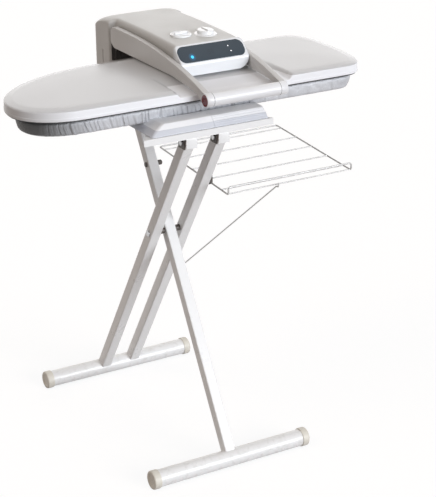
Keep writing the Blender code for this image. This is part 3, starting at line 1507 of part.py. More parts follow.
def make_front_bar(carrier, colours):
    """Angle bar across the stand's front top, and the brackets that the outer legs turn in.

    Its lip hangs in front of the legs' tops, and the ends of its web are cut back.
    """
    ends = (bar_centre_x - bar_length / 2, bar_centre_x + bar_length / 2)
    rear = front_bar_front + front_bar_depth
    web_low = front_bar_top_z - bar_wall
    lip_low = front_bar_top_z - front_bar_lip
    section = (
        (front_bar_front, lip_low), (front_bar_front, front_bar_top_z), (rear, front_bar_top_z),
        (rear, web_low), (front_bar_front + bar_wall, web_low), (front_bar_front + bar_wall, lip_low),
    )
    loops = []
    for end, sign in zip(ends, (1, -1)):
        loops.append([(end + sign * front_bar_cut * (y - front_bar_front) / front_bar_depth, y, z)
                      for y, z in section])
    add("front_bar", loft(loops), colours["stand"], carrier, smooth=False)
    top = web_low - clearance
    low = leg_hinge_z - leg_bracket_below
    half_gap = leg_size / 2 + leg_play
    section = (
        (-half_gap - leg_bracket_plate, top), (-half_gap - leg_bracket_plate, low), (-half_gap, low),
        (-half_gap, top - leg_bracket_plate), (half_gap, top - leg_bracket_plate), (half_gap, low),
        (half_gap + leg_bracket_plate, low), (half_gap + leg_bracket_plate, top),
    )
    for side, sign in (("left", -1), ("right", 1)):
        x = foot_centre_x + sign * leg_spread / 2
        bracket = add("leg_bracket_" + side, prism([(x + a, z) for a, z in section], "Y",
                                                   leg_hinge_y - leg_bracket_depth / 2,
                                                   leg_hinge_y + leg_bracket_depth / 2),
                      colours["dark"], carrier, smooth=False)
        reach = half_gap + leg_bracket_plate + overrun
        drill(bracket, "leg_bracket_hole_" + side, bolt_radius + clearance, (leg_hinge_y, leg_hinge_z),
              x - reach, x + reach, carrier)


def make_rack(carrier, colours):
    """Wire rack with its bent-up front lip, and the moulded hub that it turns on."""
    corners = []
    for x, y, lift in (
        (rack_left, rack_rear, 0), (rack_left, rack_front, 0), (rack_left, rack_front, rack_lip),
        (rack_right, rack_front, rack_lip), (rack_right, rack_front, 0), (rack_right, rack_rear, 0),
    ):
        corners.append((x, y, rack_z(y) + lift))
    frame = bend_corners(corners, rack_bend, steps=3, cyclic=True)
    rack = add("wire_rack", sweep(frame, rack_wire, sides=8, cyclic=True), colours["wire"], carrier)
    y = rack_front
    index = 0
    while y < rack_rear - rack_cross_first:
        name = "cross_wire_" + str(index)
        across = rod(rack_cross_wire, "X", (y, rack_z(y) + (rack_bend if index == 0 else 0)),
                     rack_left, rack_right, sides=6)
        boolean(rack, cutter(name, across, carrier), "UNION")
        y = rack_front + rack_cross_first + rack_cross_pitch * index
        index += 1

    low = rack_z(rack_pivot_y) - rack_hub_below
    high = rack_pivot_z + rack_hub_above
    width = 2 * rack_hub_half_depth
    outline = [(rack_pivot_y + a, (low + high) / 2 + b)
               for a, b in rounded_rect(width, high - low, rack_hub_round)]
    half = rack_hub_width / 2
    hub = add("rack_hub", prism(outline, "X", rack_left - half, rack_left + half), colours["dark"], carrier)
    drill(hub, "rack_hub_bore", bolt_radius + clearance, (rack_pivot_y, rack_pivot_z),
          rack_left - half - overrun, rack_left + half + overrun, carrier)
    near = rack_pivot_y - rack_hub_half_depth - overrun
    far = rack_pivot_y + rack_hub_half_depth + overrun
    side_wire = [(rack_left, near, rack_z(near)), (rack_left, far, rack_z(far))]
    tunnel = sweep(side_wire, rack_wire + clearance, sides=8)
    boolean(hub, cutter("rack_hub_tunnel", tunnel, carrier))


def main():
    """Build the press, body by body."""
    clear_scene()
    colours = make_materials()
    base = body("base", (0, 0, 0))
    head = body("head", (head_x, hinge_y, hinge_z), base)
    platen = body("platen", (head_x, platen_pin_y, platen_pin_z), head)
    yoke = body("yoke", (head_x, yoke_shaft_y, yoke_shaft_z), head)
    left_button = body("left_button", (head_x - arm_outer, handle_y, handle_z), yoke)
    right_button = body("right_button", (head_x + arm_outer, handle_y, handle_z), yoke)
    cap = body("cap", (filler_x, filler_y, cover_top(filler_y)), head)
    dial = body("dial", (dial_x, dial_y, cover_top(dial_y)), head)
    outer_legs = body("outer_legs", (foot_centre_x, leg_hinge_y, leg_hinge_z), base)
    inner_leg = body("inner_legs", (foot_centre_x, crossing_y, crossing_z), outer_legs)
    rack = body("rack", (rack_left, rack_pivot_y, rack_pivot_z), outer_legs)
    make_base(base, colours)
    make_board(base, colours)
    make_front_bar(base, colours)
    make_head(head, colours)
    make_platen(platen, colours)
    make_yoke(yoke, left_button, right_button, colours)
    make_top_controls(cap, dial, colours)
    make_outer_legs(outer_legs, colours)
    make_inner_leg(inner_leg, colours)
    make_rack(rack, colours)


main()
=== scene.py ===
"""Looks of the steam ironing press: smooth housings, cloth, paint and wire over the fixed frame.

Lengths are in metres. Shapes are written about the board's working centre, and SHIFT moves
them to the middle of the press's footprint, where the frame has them.
"""

import json
import logging
import math
from dataclasses import dataclass
from enum import Enum

import bmesh
import bpy
import numpy as np
from mathutils import Matrix, Vector

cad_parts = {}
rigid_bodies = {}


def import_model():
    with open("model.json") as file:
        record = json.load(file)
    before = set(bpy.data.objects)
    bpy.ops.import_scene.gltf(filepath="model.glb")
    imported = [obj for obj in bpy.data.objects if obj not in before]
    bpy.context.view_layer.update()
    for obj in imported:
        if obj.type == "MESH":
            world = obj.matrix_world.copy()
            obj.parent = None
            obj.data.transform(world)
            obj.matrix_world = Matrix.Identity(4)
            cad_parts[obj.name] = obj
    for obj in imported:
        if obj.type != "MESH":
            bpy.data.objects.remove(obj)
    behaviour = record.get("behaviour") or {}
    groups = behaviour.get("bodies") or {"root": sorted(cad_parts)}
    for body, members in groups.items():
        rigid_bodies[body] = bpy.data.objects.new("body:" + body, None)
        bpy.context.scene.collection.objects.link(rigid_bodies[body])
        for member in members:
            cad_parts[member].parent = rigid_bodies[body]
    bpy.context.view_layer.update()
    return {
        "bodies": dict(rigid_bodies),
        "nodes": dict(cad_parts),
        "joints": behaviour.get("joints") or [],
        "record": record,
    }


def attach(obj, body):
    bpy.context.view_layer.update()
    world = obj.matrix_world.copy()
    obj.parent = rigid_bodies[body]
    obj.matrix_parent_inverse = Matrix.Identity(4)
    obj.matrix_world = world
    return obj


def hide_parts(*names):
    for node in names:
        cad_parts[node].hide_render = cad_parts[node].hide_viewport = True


LOG = logging.getLogger("press")
SHIFT = np.array([-0.005, -0.02725, 0.0])
SIDES = (("left", -1), ("right", 1))
Colour = tuple[float, float, float]
Pair = tuple[float, float]
Points = np.ndarray
Part = tuple[np.ndarray, list[list[int]]]
Socket = bpy.types.NodeSocket


class Axis(Enum):
    """Axis that a round or straight piece runs along, as the order of its coordinates."""

    X = (0, 1, 2)
    Y = (1, 0, 2)
    Z = (2, 0, 1)

    def grid(self, *coordinates: Points) -> Points:
        """Points from their coordinate along the axis and the two across it."""
        placed = sorted(zip(self.value, np.broadcast_arrays(*coordinates)), key=lambda pair: pair[0])
        return np.stack([values for _, values in placed], axis=-1)


class Glow(Enum):
    """Kind of lit mark on the touch panel: its core's colour and light, and its halo's light."""

    RING = ((0.02, 0.42, 0.75, 1), (0.05, 0.42, 0.72, 1), (0.0, 0.20, 0.42, 1))
    DOT = ((0.9, 0.92, 0.95, 1), (0.85, 0.85, 0.85, 1), None)


# Finishes


class Graph:
    """A node tree with short ways to add and join nodes."""

    def __init__(self, tree: bpy.types.NodeTree) -> None:
        """Keep the tree."""
        self.tree = tree

    def feed(self, target: Socket, value: object) -> None:
        """Give an input a value, or link it to an output socket."""
        if isinstance(value, Socket):
            self.tree.links.new(value, target)
        else:
            target.default_value = value

    def add(self, kind: str, inputs: dict[object, object] | None = None, **settings: object) -> bpy.types.Node:
        """Add a node.

        Args:
            kind: the node's type without its ShaderNode prefix.
            inputs: input name or number to a value or to an output socket.
            settings: properties of the node itself.
        Returns:
            The node.
        """
        node = self.tree.nodes.new("ShaderNode" + kind)
        for key, value in settings.items():
            setattr(node, key, value)
        for key, value in (inputs or {}).items():
            self.feed(node.inputs[key], value)
        return node

    def math(self, operation: str, a: object, b: object = 0.0) -> Socket:
        """Result of a Math node on two values or sockets."""
        return self.add("Math", {0: a, 1: b}, operation=operation).outputs[0]

    def span(self, value: object, low: object, high: object, start: float = 0.0, end: float = 1.0) -> Socket:
        """Map a value from one range to another, held at the ends."""
        return self.add("MapRange", {0: value, 1: low, 2: high, 3: start, 4: end}).outputs[0]

    def mix(self, share: object, a: object, b: object, blend: str = "MIX") -> Socket:
        """Blend two colours by a share."""
        return self.add("Mix", {0: share, 6: a, 7: b}, data_type="RGBA", blend_type=blend).outputs[2]

    def part(self, number: int, vector: Socket | None = None) -> Socket:
        """One coordinate of a vector, or of the place in object coordinates."""
        return self.add("SeparateXYZ", {0: vector or self.add("TexCoord").outputs["Object"]}).outputs[number]

    def noise(self, scale: object, detail: float) -> Socket:
        """Value of a noise texture in object coordinates."""
        place = self.add("TexCoord").outputs["Object"]
        return self.add("TexNoise", {"Vector": place, "Scale": scale, "Detail": detail}).outputs["Fac"]

    def bump(self, height: Socket, strength: float, distance: float) -> Socket:
        """Normal of a bump."""
        return self.add("Bump", {"Height": height, "Strength": strength, "Distance": distance}).outputs[0]


class Effects:
    """Shader effects that several finishes share, each a node group built once."""

    def __init__(self) -> None:
        """Build the groups."""
        self.groups: dict[str, bpy.types.NodeTree] = {}
        self._mottle()
        self._grain()
        self._dust()

    def _group(self, name: str, inputs: dict[str, object], outputs: dict[str, str]) -> tuple[Graph, object, object]:
        """Make an empty group.

        Args:
            name: the group's name.
            inputs: socket name to default value; a number or a colour.
            outputs: socket name to socket type.
        Returns:
            Its graph, the sockets to read and the sockets to feed.
        """
        group = bpy.data.node_groups.new(name, "ShaderNodeTree")
        for key, value in inputs.items():
            kind = "NodeSocketFloat" if isinstance(value, float) else "NodeSocketColor"
            group.interface.new_socket(key, in_out="INPUT", socket_type=kind).default_value = value
        for key, kind in outputs.items():
            group.interface.new_socket(key, in_out="OUTPUT", socket_type=kind)
        self.groups[name] = group
        return Graph(group), group.nodes.new("NodeGroupInput").outputs, group.nodes.new("NodeGroupOutput").inputs

    def _mottle(self) -> None:
        """Slow change of colour and of gloss over a surface."""
        g, source, sink = self._group(
            "mottle", {"Colour": (0.8, 0.8, 0.8, 1), "Deep": (0.6, 0.6, 0.6, 1), "Scale": 9.0, "Amount": 0.3},
            {"Colour": "NodeSocketColor", "Mask": "NodeSocketFloat"})
        broad = g.noise(source["Scale"], 4.0)
        fine = g.noise(g.math("MULTIPLY", source["Scale"], 11.0), 2.0)
        mask = g.span(g.math("ADD", g.math("MULTIPLY", broad, 0.75), g.math("MULTIPLY", fine, 0.25)), 0.35, 0.65)
        g.feed(sink["Colour"], g.mix(g.math("MULTIPLY", mask, source["Amount"]), source["Colour"], source["Deep"]))
        g.feed(sink["Mask"], mask)

    def _grain(self) -> None:
        """Height of a moulded grain over a faint long wave, as on plastic and on thick paint."""
        g, source, sink = self._group("grain", {"Scale": 900.0, "Wave": 60.0}, {"Height": "NodeSocketFloat"})
        fine = g.math("MULTIPLY", g.noise(source["Scale"], 1.0), 0.3)
        g.feed(sink["Height"], g.math("ADD", fine, g.noise(source["Wave"], 1.0)))

    def _dust(self) -> None:
        """Mask of faint dust and scuffs that gathers low on a piece and in specks."""
        g, source, sink = self._group("dust", {"Low": 0.0, "High": 0.1, "Scale": 60.0}, {"Mask": "NodeSocketFloat"})
        low = g.span(g.part(2), source["Low"], source["High"], 1.0, 0.0)
        specks = g.span(g.noise(source["Scale"], 5.0), 0.52, 0.72)
        g.feed(sink["Mask"], g.math("MULTIPLY", low, specks))

    def use(self, g: Graph, name: str, **values: object) -> bpy.types.NodeOutputs:
        """Place a group in a material with its own values."""
        return g.add("Group", values, node_tree=self.groups[name]).outputs

    def tone(self, g: Graph, colour: Colour, deep: Colour, scale: float, amount: float) -> tuple[Socket, Socket]:
        """Colour and mask of the mottle group."""
        tone = self.use(g, "mottle", Colour=(*colour, 1), Deep=(*deep, 1), Scale=scale, Amount=amount)
        return tone["Colour"], tone["Mask"]


@dataclass(frozen=True)
class Surface:
    """What all finishes share: a material made from what its own paint method says."""

    name: str
    slot: str

    def build(self, effects: Effects) -> bpy.types.Material:
        """Make the material.

        Args:
            effects: the shared groups.
        Returns:
            The material, whose colour, gloss and bump change over the surface.
        """
        material = bpy.data.materials.new(self.name)
        material.use_nodes = True
        g = Graph(material.node_tree)
        shader = material.node_tree.nodes["Principled BSDF"]
        for key, value in self.paint(g, effects).items():
            g.feed(shader.inputs[key], value)
        return material


@dataclass(frozen=True)
class Finish(Surface):
    """A moulded, painted or metal finish, with dust low down and a paler rim of painted light where it has them."""

    colour: Colour
    deep: Colour
    roughness: float = 0.35
    metallic: float = 0.0
    coat: float = 0.0
    grain: float = 900.0
    wave: float = 60.0
    bump: float = 0.05
    mottle: float = 0.4
    mottle_scale: float = 9.0
    dust: float = 0.0
    dust_high: float = 0.12
    dirt: Colour = (0.42, 0.39, 0.35)
    specular: float = 0.5
    # rim is the colour of painted light on a wall: below the heights, and fading out towards the nose between the ends.
    rim: Colour | None = None
    lit_wall_heights: Pair = (1.0718, 1.0726)
    lit_wall_ends: Pair = (-0.505, -0.40)

    def paint(self, g: Graph, effects: Effects) -> dict[str, object]:
        """Values and sockets for the shader."""
        colour, mask = effects.tone(g, self.colour, self.deep, self.mottle_scale, self.mottle)
        rough = g.span(mask, 0.0, 1.0, self.roughness * 0.88, self.roughness * 1.12)
        # Painted light: below the heights the wall is mixed to the paler rim colour, as if lit from the front, fading
        # to nothing at the nose.
        if self.rim:
            low = g.span(g.part(2), *self.lit_wall_heights, 1.0, 0.0)
            share = g.math("MULTIPLY", low, g.span(g.part(0), *self.lit_wall_ends))
            colour = g.mix(share, colour, (*self.rim, 1))
        if self.dust:
            share = g.math("MULTIPLY", effects.use(g, "dust", High=self.dust_high)["Mask"], self.dust)
            colour = g.mix(share, colour, (*self.dirt, 1))
            rough = g.math("ADD", rough, g.math("MULTIPLY", share, 0.4))
        grain = effects.use(g, "grain", Scale=self.grain, Wave=self.wave)["Height"]
        return {"Base Color": colour, "Roughness": rough, "Normal": g.bump(grain, self.bump, 0.0006),
                "Metallic": self.metallic, "Coat Weight": self.coat, "Coat Roughness": 0.12,
                "Specular IOR Level": self.specular}


@dataclass(frozen=True)
class ClothFinish(Surface):
    """Woven metallised cloth, read from the cloth's own UV map in metres, with painted shade that darkens it towards
    the nose.
    """

    name: str = "cover_cloth"
    slot: str = "cover_cloth"
    colour: Colour = (0.62, 0.625, 0.65)
    deep: Colour = (0.42, 0.43, 0.46)
    # nose is the colour of painted shade: the cloth at the nose tip, under the platen's overhang, is painted nearly
    # black.
    nose: Colour = (0.025, 0.024, 0.022)
    nose_shade_ends: Pair = (-0.48, -0.33)
    pitch: float = 0.0011

    def paint(self, g: Graph, effects: Effects) -> dict[str, object]:
        """Two crossed sets of threads, with slubs, a faint sheen and painted shade at the nose."""
        uv = g.add("UVMap").outputs[0]
        warp, weft = (g.math("SINE", g.math("MULTIPLY", g.part(k, uv), 2 * math.pi / self.pitch)) for k in (0, 1))
        weave = g.math("MULTIPLY", warp, weft)
        slub = g.noise(140.0, 3.0)
        height = g.math("ADD", g.math("MULTIPLY", weave, 0.5), g.math("MULTIPLY", slub, 0.6))
        colour, _ = effects.tone(g, self.colour, self.deep, 14.0, 0.45)
        thread = g.mix(g.span(weave, -1.0, 1.0, 0.0, 0.22), colour, (*self.deep, 1))
        # Painted shade: towards the nose tip the threads are mixed into the nearly black nose colour, for the shade
        # under the platen.
        thread = g.mix(g.span(g.part(0), *self.nose_shade_ends, 0.94, 0.0), thread, (*self.nose, 1))
        return {"Base Color": thread, "Roughness": g.span(slub, 0.3, 0.7, 0.48, 0.62),
                "Normal": g.bump(height, 0.35, 0.0004), "Metallic": 0.25, "Sheen Weight": 0.25}


@dataclass(frozen=True)
class PanelFinish(Surface):
    """Dark touch panel behind clear plastic, with generic marks read from its UV map.

    A lit mark is (across, up, radius, kind) and a dim digit is its place across; lengths are
    shares of the panel's width, and places up are shares of its height.
    """

    name: str = "panel_glass"
    slot: str = "panel_glass"
    colour: Colour = (0.022, 0.038, 0.055)
    deep: Colour = (0.016, 0.028, 0.042)
    height: float = 0.232
    marks: tuple[tuple[float, float, float, Glow], ...] = (
        (0.190, 0.31, 0.038, Glow.RING), (0.767, 0.66, 0.014, Glow.DOT), (0.783, 0.34, 0.014, Glow.DOT))
    digits: Pair = (0.462, 0.510)
    digit_half: Pair = (0.016, 0.030)
    digit_up: float = 0.48
    ink: Colour = (0.012, 0.016, 0.026)

    def paint(self, g: Graph, effects: Effects) -> dict[str, object]:
        """Round lit spots with soft edges, and a dim seven-bar number."""
        uv = g.add("UVMap").outputs[0]
        x, y = g.part(0, uv), g.math("MULTIPLY", g.part(1, uv), self.height)
        colour, mask = effects.tone(g, self.colour, self.deep, 20.0, 0.5)
        light: object = (0.0, 0.0, 0.0, 1)
        for across, up, radius, kind in self.marks:
            dx, dy = g.math("SUBTRACT", x, across), g.math("SUBTRACT", y, up * self.height)
            near = g.math("SQRT", g.math("ADD", g.math("MULTIPLY", dx, dx), g.math("MULTIPLY", dy, dy)))
            core = g.span(near, radius * 0.45, radius * 0.6, 1.0, 0.0)
            tint, shine, halo = kind.value
            colour = g.mix(core, colour, tint)
            if halo:
                light = g.mix(g.span(near, radius * 0.5, radius * 1.5, 0.45, 0.0), light, halo)
            light = g.mix(core, light, shine)
        for across in self.digits:
            middle = (across, self.digit_up * self.height)
            wide, tall = (g.math("DIVIDE", g.math("ABSOLUTE", g.math("SUBTRACT", value, centre)), half)
                          for value, centre, half in zip((x, y), middle, self.digit_half))
            rim = g.math("MAXIMUM", wide, tall)
            box = g.math("MULTIPLY", g.span(rim, 0.70, 0.76), g.span(rim, 0.96, 1.02, 1.0, 0.0))
            bar = g.math("MULTIPLY", g.span(tall, 0.10, 0.14, 1.0, 0.0), g.span(wide, 0.80, 0.90, 1.0, 0.0))
            colour = g.mix(g.math("MULTIPLY", g.math("MAXIMUM", box, bar), 0.45), colour, (*self.ink, 1))
        return {"Base Color": colour, "Emission Color": light, "Emission Strength": 1.0,
                "Roughness": g.span(mask, 0.0, 1.0, 0.10, 0.16), "Coat Weight": 0.1, "Coat Roughness": 0.05}


@dataclass(frozen=True)
class PanFinish(Surface):
    """White moulding with painted light and shade, read from its UV map: a paler ledge painted as lit, over a cooler
    grey lower flank painted as shade.
    """

    name: str = "pan_white"
    slot: str = "fascia_white"
    # ledge is painted light; flank is painted shade, the bluish shade under the board; shade is painted shade in the
    # crease.
    ledge: Colour = (0.86, 0.87, 0.89)
    flank: Colour = (0.60, 0.62, 0.67)
    shade: Colour = (0.35, 0.36, 0.40)
    crease: float = 0.0090
    blend: float = 0.0008
    gap: float = 0.0007

    def paint(self, g: Graph, effects: Effects) -> dict[str, object]:
        """The painted-lit and painted-shade tones meet in a crease of painted shade at its inset from the rim."""
        inset = g.part(1, g.add("UVMap").outputs[0])
        upper = g.span(inset, self.crease - self.blend, self.crease + self.blend)
        away = g.math("ABSOLUTE", g.math("SUBTRACT", inset, self.crease))
        tone = g.mix(g.span(away, 0.0, self.gap, 0.45, 0.0), g.mix(upper, (*self.flank, 1), (*self.ledge, 1)),
                     (*self.shade, 1))
        mottle, mask = effects.tone(g, (1, 1, 1), (0.94, 0.94, 0.95), 12.0, 1.0)
        return {"Base Color": g.mix(1.0, tone, mottle, "MULTIPLY"), "Roughness": g.span(mask, 0.0, 1.0, 0.28, 0.38),
                "Normal": g.bump(effects.use(g, "grain")["Height"], 0.06, 0.0006), "Coat Weight": 0.15}


FINISHES = (
    Finish("body_grey", "body_grey", (0.58, 0.575, 0.56), (0.54, 0.53, 0.515), 0.38, grain=500, specular=0.22),
    Finish("arm_grey", "body_grey", (0.58, 0.57, 0.56), (0.54, 0.53, 0.52), 0.34, grain=500, specular=0.22),
    # platen_paint's rim is painted light: its wall is paler than its top, as front light would make it, but not at the
    # nose.
    Finish("platen_paint", "platen_grey", (0.58, 0.58, 0.59), (0.55, 0.55, 0.555), 0.24, bump=0.008, grain=300,
           wave=20, mottle=0.25, specular=0.22, rim=(0.83, 0.835, 0.86)),
    Finish("fascia_white", "fascia_white", (0.75, 0.765, 0.79), (0.71, 0.725, 0.75), 0.22, coat=0.25, bump=0.03),
    Finish("handle_white", "fascia_white", (0.77, 0.77, 0.785), (0.73, 0.73, 0.745), 0.32, coat=0.12),
    Finish("cap_gloss", "body_grey", (0.78, 0.79, 0.80), (0.73, 0.74, 0.75), 0.16, coat=0.5, bump=0.03),
    PanFinish(),
    Finish("button_red", "button_red", (0.15, 0.012, 0.014), (0.10, 0.008, 0.010), 0.28, coat=0.3),
    Finish("stand_paint", "stand_paint", (0.82, 0.82, 0.82), (0.76, 0.76, 0.755), 0.30, coat=0.15, bump=0.08,
           wave=140, dust=0.35),
    Finish("cap_cream", "cap_cream", (0.72, 0.69, 0.62), (0.62, 0.59, 0.52), 0.46, bump=0.12, grain=600, dust=0.5,
           dust_high=0.04),
    Finish("zinc", "zinc_steel", (0.55, 0.55, 0.56), (0.42, 0.42, 0.42), 0.36, 1.0, mottle_scale=45, bump=0.15,
           grain=1500),
    # Near-black sole plate: partly its own dark metal, partly painted shade of the gap under the platen.
    Finish("sole_plate_and_shade", "cast_alloy", (0.030, 0.030, 0.031), (0.018, 0.018, 0.019), 0.42, 0.2, bump=0.3, grain=700,
           mottle_scale=25),
    Finish("rack_wire", "rack_wire", (0.56, 0.555, 0.55), (0.44, 0.43, 0.42), 0.34, 0.35, bump=0.1, mottle_scale=60),
    Finish("bracket_dark", "bracket_dark", (0.085, 0.070, 0.060), (0.05, 0.042, 0.036), 0.50, 0.15, bump=0.2,
           mottle_scale=60),
    Finish("recess_dark", "gland_black", (0.055, 0.050, 0.048), (0.035, 0.032, 0.030), 0.55, bump=0.2,
           mottle_scale=60),
    Finish("tank_clear", "tank_clear", (0.55, 0.65, 0.72), (0.48, 0.58, 0.66), 0.14),
    Finish("card_green", "card_green", (0.05, 0.22, 0.10), (0.03, 0.16, 0.07), 0.45, mottle_scale=200),
    Finish("gland_black", "gland_black", (0.03, 0.03, 0.03), (0.02, 0.02, 0.02), 0.55, bump=0.2),
    ClothFinish(),
    PanelFinish(),
)


# Formulas


def unit(vectors: Points) -> Points:
    """Vectors drawn to length one."""
    return vectors / np.linalg.norm(vectors, axis=-1, keepdims=True)


def joined(*coordinates: Points | float) -> Points:
    """Points or UV pairs from their coordinates."""
    return np.stack(np.broadcast_arrays(*coordinates), axis=-1)


def smooth_step(value: Points, low: float, high: float) -> Points:
    """0 below low, 1 above high, and 3s^2 - 2s^3 between."""
    s = np.clip((value - low) / (high - low), 0, 1)
    return s * s * (3 - 2 * s)


def toward(loop: Points, target: Points, shares: Points | Pair) -> Points:
    """Loops that lie at each share of the way from a loop to its target."""
    share = np.asarray(shares)[:, None, None]
    return loop * (1 - share) + target * share


def parabola(a: Points, corner: Points, b: Points, steps: int) -> Points:
    """Points (1-t)^2 a + 2t(1-t) corner + t^2 b at even steps of t."""
    t = np.linspace(0, 1, steps)[:, None]
    return (1 - t) ** 2 * a + 2 * t * (1 - t) * corner + t ** 2 * b


def arc(centre: Pair, radius: float, start: float, stop: float, steps: int) -> Points:
    """Centre plus radius times (cos t, sin t), from one angle in degrees to another."""
    t = np.radians(np.linspace(start, stop, steps))
    return joined(centre[0] + radius * np.cos(t), centre[1] + radius * np.sin(t))


def grid_faces(rows: int, columns: int, wrap_rows: bool = False, wrap_columns: bool = True,
               caps: bool = True) -> list[list[int]]:
    """Faces of a grid of points.

    Args:
        rows: how many loops the grid has.
        columns: how many points a loop has.
        wrap_rows: whether the last loop joins the first.
        wrap_columns: whether each loop is closed.
        caps: whether the first and last loops are filled.
    Returns:
        Vertex numbers of each face.
    """
    grid = np.arange(rows * columns).reshape(rows, columns)
    if wrap_rows:
        grid = np.concatenate([grid, grid[:1]])
    if wrap_columns:
        grid = np.concatenate([grid, grid[:, :1]], axis=1)
    made = joined(grid[:-1, :-1], grid[:-1, 1:], grid[1:, 1:], grid[1:, :-1]).reshape(-1, 4).tolist()
    if caps and not wrap_rows:
        made.append(list(range(columns))[::-1])
        made.append(list(range((rows - 1) * columns, rows * columns)))
    return made


def loft(grid: Points, **closing: bool) -> Part:
    """Grid of points with its faces, closed as grid_faces says."""
    return grid, grid_faces(*grid.shape[:2], **closing)


def tube(path: Points, radius: float, sides: int, closed: bool = False) -> Part:
    """Round section of one radius carried along a path.

    Each ring is the path point plus radius times (cos t, sin t) in the plane across the
    path's tangent, which comes from central differences.
    """
    tangent = np.roll(path, -1, axis=0) - np.roll(path, 1, axis=0) if closed else np.gradient(path, axis=0)
    tangent = unit(tangent)
    side = unit(np.cross(tangent, (0.31, 0.52, 0.795)))
    up = np.cross(tangent, side)
    t = np.linspace(0, 2 * np.pi, sides, endpoint=False)[:, None]
    ring = np.cos(t) * side[:, None] + np.sin(t) * up[:, None]
    return loft(path[:, None] + radius * ring, wrap_rows=closed)


def bends(corners: list[tuple[float, float, float]], reach: float, steps: int, closed: bool = False) -> Points:
    """Path whose corners are rounded by parabolas that start and end at the reach from each corner."""
    c = np.array(corners, float)
    a, b = (c + reach * unit(np.roll(c, k, axis=0) - c) for k in (1, -1))
    arcs = parabola(a[:, None], c[:, None], b[:, None], steps)
    return arcs.reshape(-1, 3) if closed else np.concatenate([c[:1], arcs[1:-1].reshape(-1, 3), c[-1:]])


def lathe(profile: Points | list[Pair], axis: Axis, centre: Pair, sides: int = 64) -> Part:
    """Profile of (radius, place along) turned about an axis: radius times (cos t, sin t) at each place.

    The first and last radii may be zero, and are then left as a very small ring and capped.
    """
    values = np.array(profile, float)
    radius = np.maximum(values[:, :1], 1e-5)
    t = np.linspace(0, 2 * np.pi, sides, endpoint=False)
    return loft(axis.grid(values[:, 1:], centre[0] + radius * np.cos(t), centre[1] + radius * np.sin(t)))


def ease(profile: Points | list[Pair], reach: float, steps: int) -> Points:
    """Round the corners of an open profile by parabolas of a reach that fits its shorter side."""
    p = np.array(profile, float)
    out = [p[:1]]
    for before, corner, after in zip(p, p[1:], p[2:]):
        sides = (before - corner, after - corner)
        short = min(reach, *(0.45 * np.linalg.norm(side) for side in sides))
        a, b = (corner + short * unit(side) for side in sides)
        out.append(parabola(a, corner, b, steps))
    return np.concatenate([*out, p[-1:]])


def inset(outline: Points, amount: Points | float) -> Points:
    """Closed outline moved inwards by an amount along the mean normal of each point's two sides."""
    ahead = unit(np.roll(outline, -1, axis=0) - outline)
    behind = unit(outline - np.roll(outline, 1, axis=0))
    mean = unit(ahead + behind)
    x, y = outline.T
    turn = np.sign(np.sum(x * np.roll(y, -1) - np.roll(x, -1) * y))
    half_cos = np.sqrt(np.clip((1 + np.sum(ahead * behind, axis=1)) / 2, 0.25, 1))
    return outline + turn * joined(-mean[:, 1], mean[:, 0]) * (amount / half_cos)[:, None]


def slab(outline: Points, axis: Axis, low: float, high: float, edge: float, steps: int,
         share: Points | float = 1.0) -> Part:
    """Closed outline carried along an axis, with a quarter-round edge at both ends.

    At angle t the outline is drawn in by edge times (1 - cos t), at edge times (1 - sin t) from the end.
    The share lets thin parts of the outline be drawn in less.
    """
    t = np.linspace(np.pi / 2, 0, steps)
    draw, step = edge * (1 - np.cos(t)), edge * (1 - np.sin(t))
    places = np.concatenate([low + step, (high - step)[::-1]])
    loops = np.stack([inset(outline, d * share) for d in (*draw, *draw[::-1])])
    return loft(axis.grid(places[:, None], loops[..., 0], loops[..., 1]))


def rounded_rect(width: float, depth: float, corner: float, steps: int = 8, lower: float | None = None) -> Points:
    """Rectangle about the origin whose corners are quarter circles, the lower two of their own radius."""
    below = corner if lower is None else lower
    quarters = enumerate(((1, 1, corner), (-1, 1, corner), (-1, -1, below), (1, -1, below)))
    return np.concatenate([arc((sx * (width / 2 - r), sy * (depth / 2 - r)), r, 90 * k, 90 * k + 90, steps)
                           for k, (sx, sy, r) in quarters])


def even(line: Points, count: int, closed: bool = True) -> Points:
    """Points of a line read again at even steps of its length."""
    line = line[np.r_[True, np.hypot(*np.diff(line, axis=0).T) > 1e-6]]
    if closed:
        line = np.concatenate([line, line[:1]])
    length = np.r_[0, np.cumsum(np.hypot(*np.diff(line, axis=0).T))]
    places = np.linspace(0, length[-1], count, endpoint=not closed)
    return joined(np.interp(places, length, line[:, 0]), np.interp(places, length, line[:, 1]))


@dataclass(frozen=True)
class Plate:
    """Flat plate with round corners, from low to high along its axis."""

    width: float
    depth: float
    corner: float
    low: float
    high: float
    edge: float
    steps: int
    axis: Axis = Axis.Y

    def at(self, across: float = 0.0, up: float = 0.0) -> Part:
        """The plate about a centre."""
        outline = rounded_rect(self.width, self.depth, self.corner) + np.array([across, up])
        return slab(outline, self.axis, self.low, self.high, self.edge, self.steps)


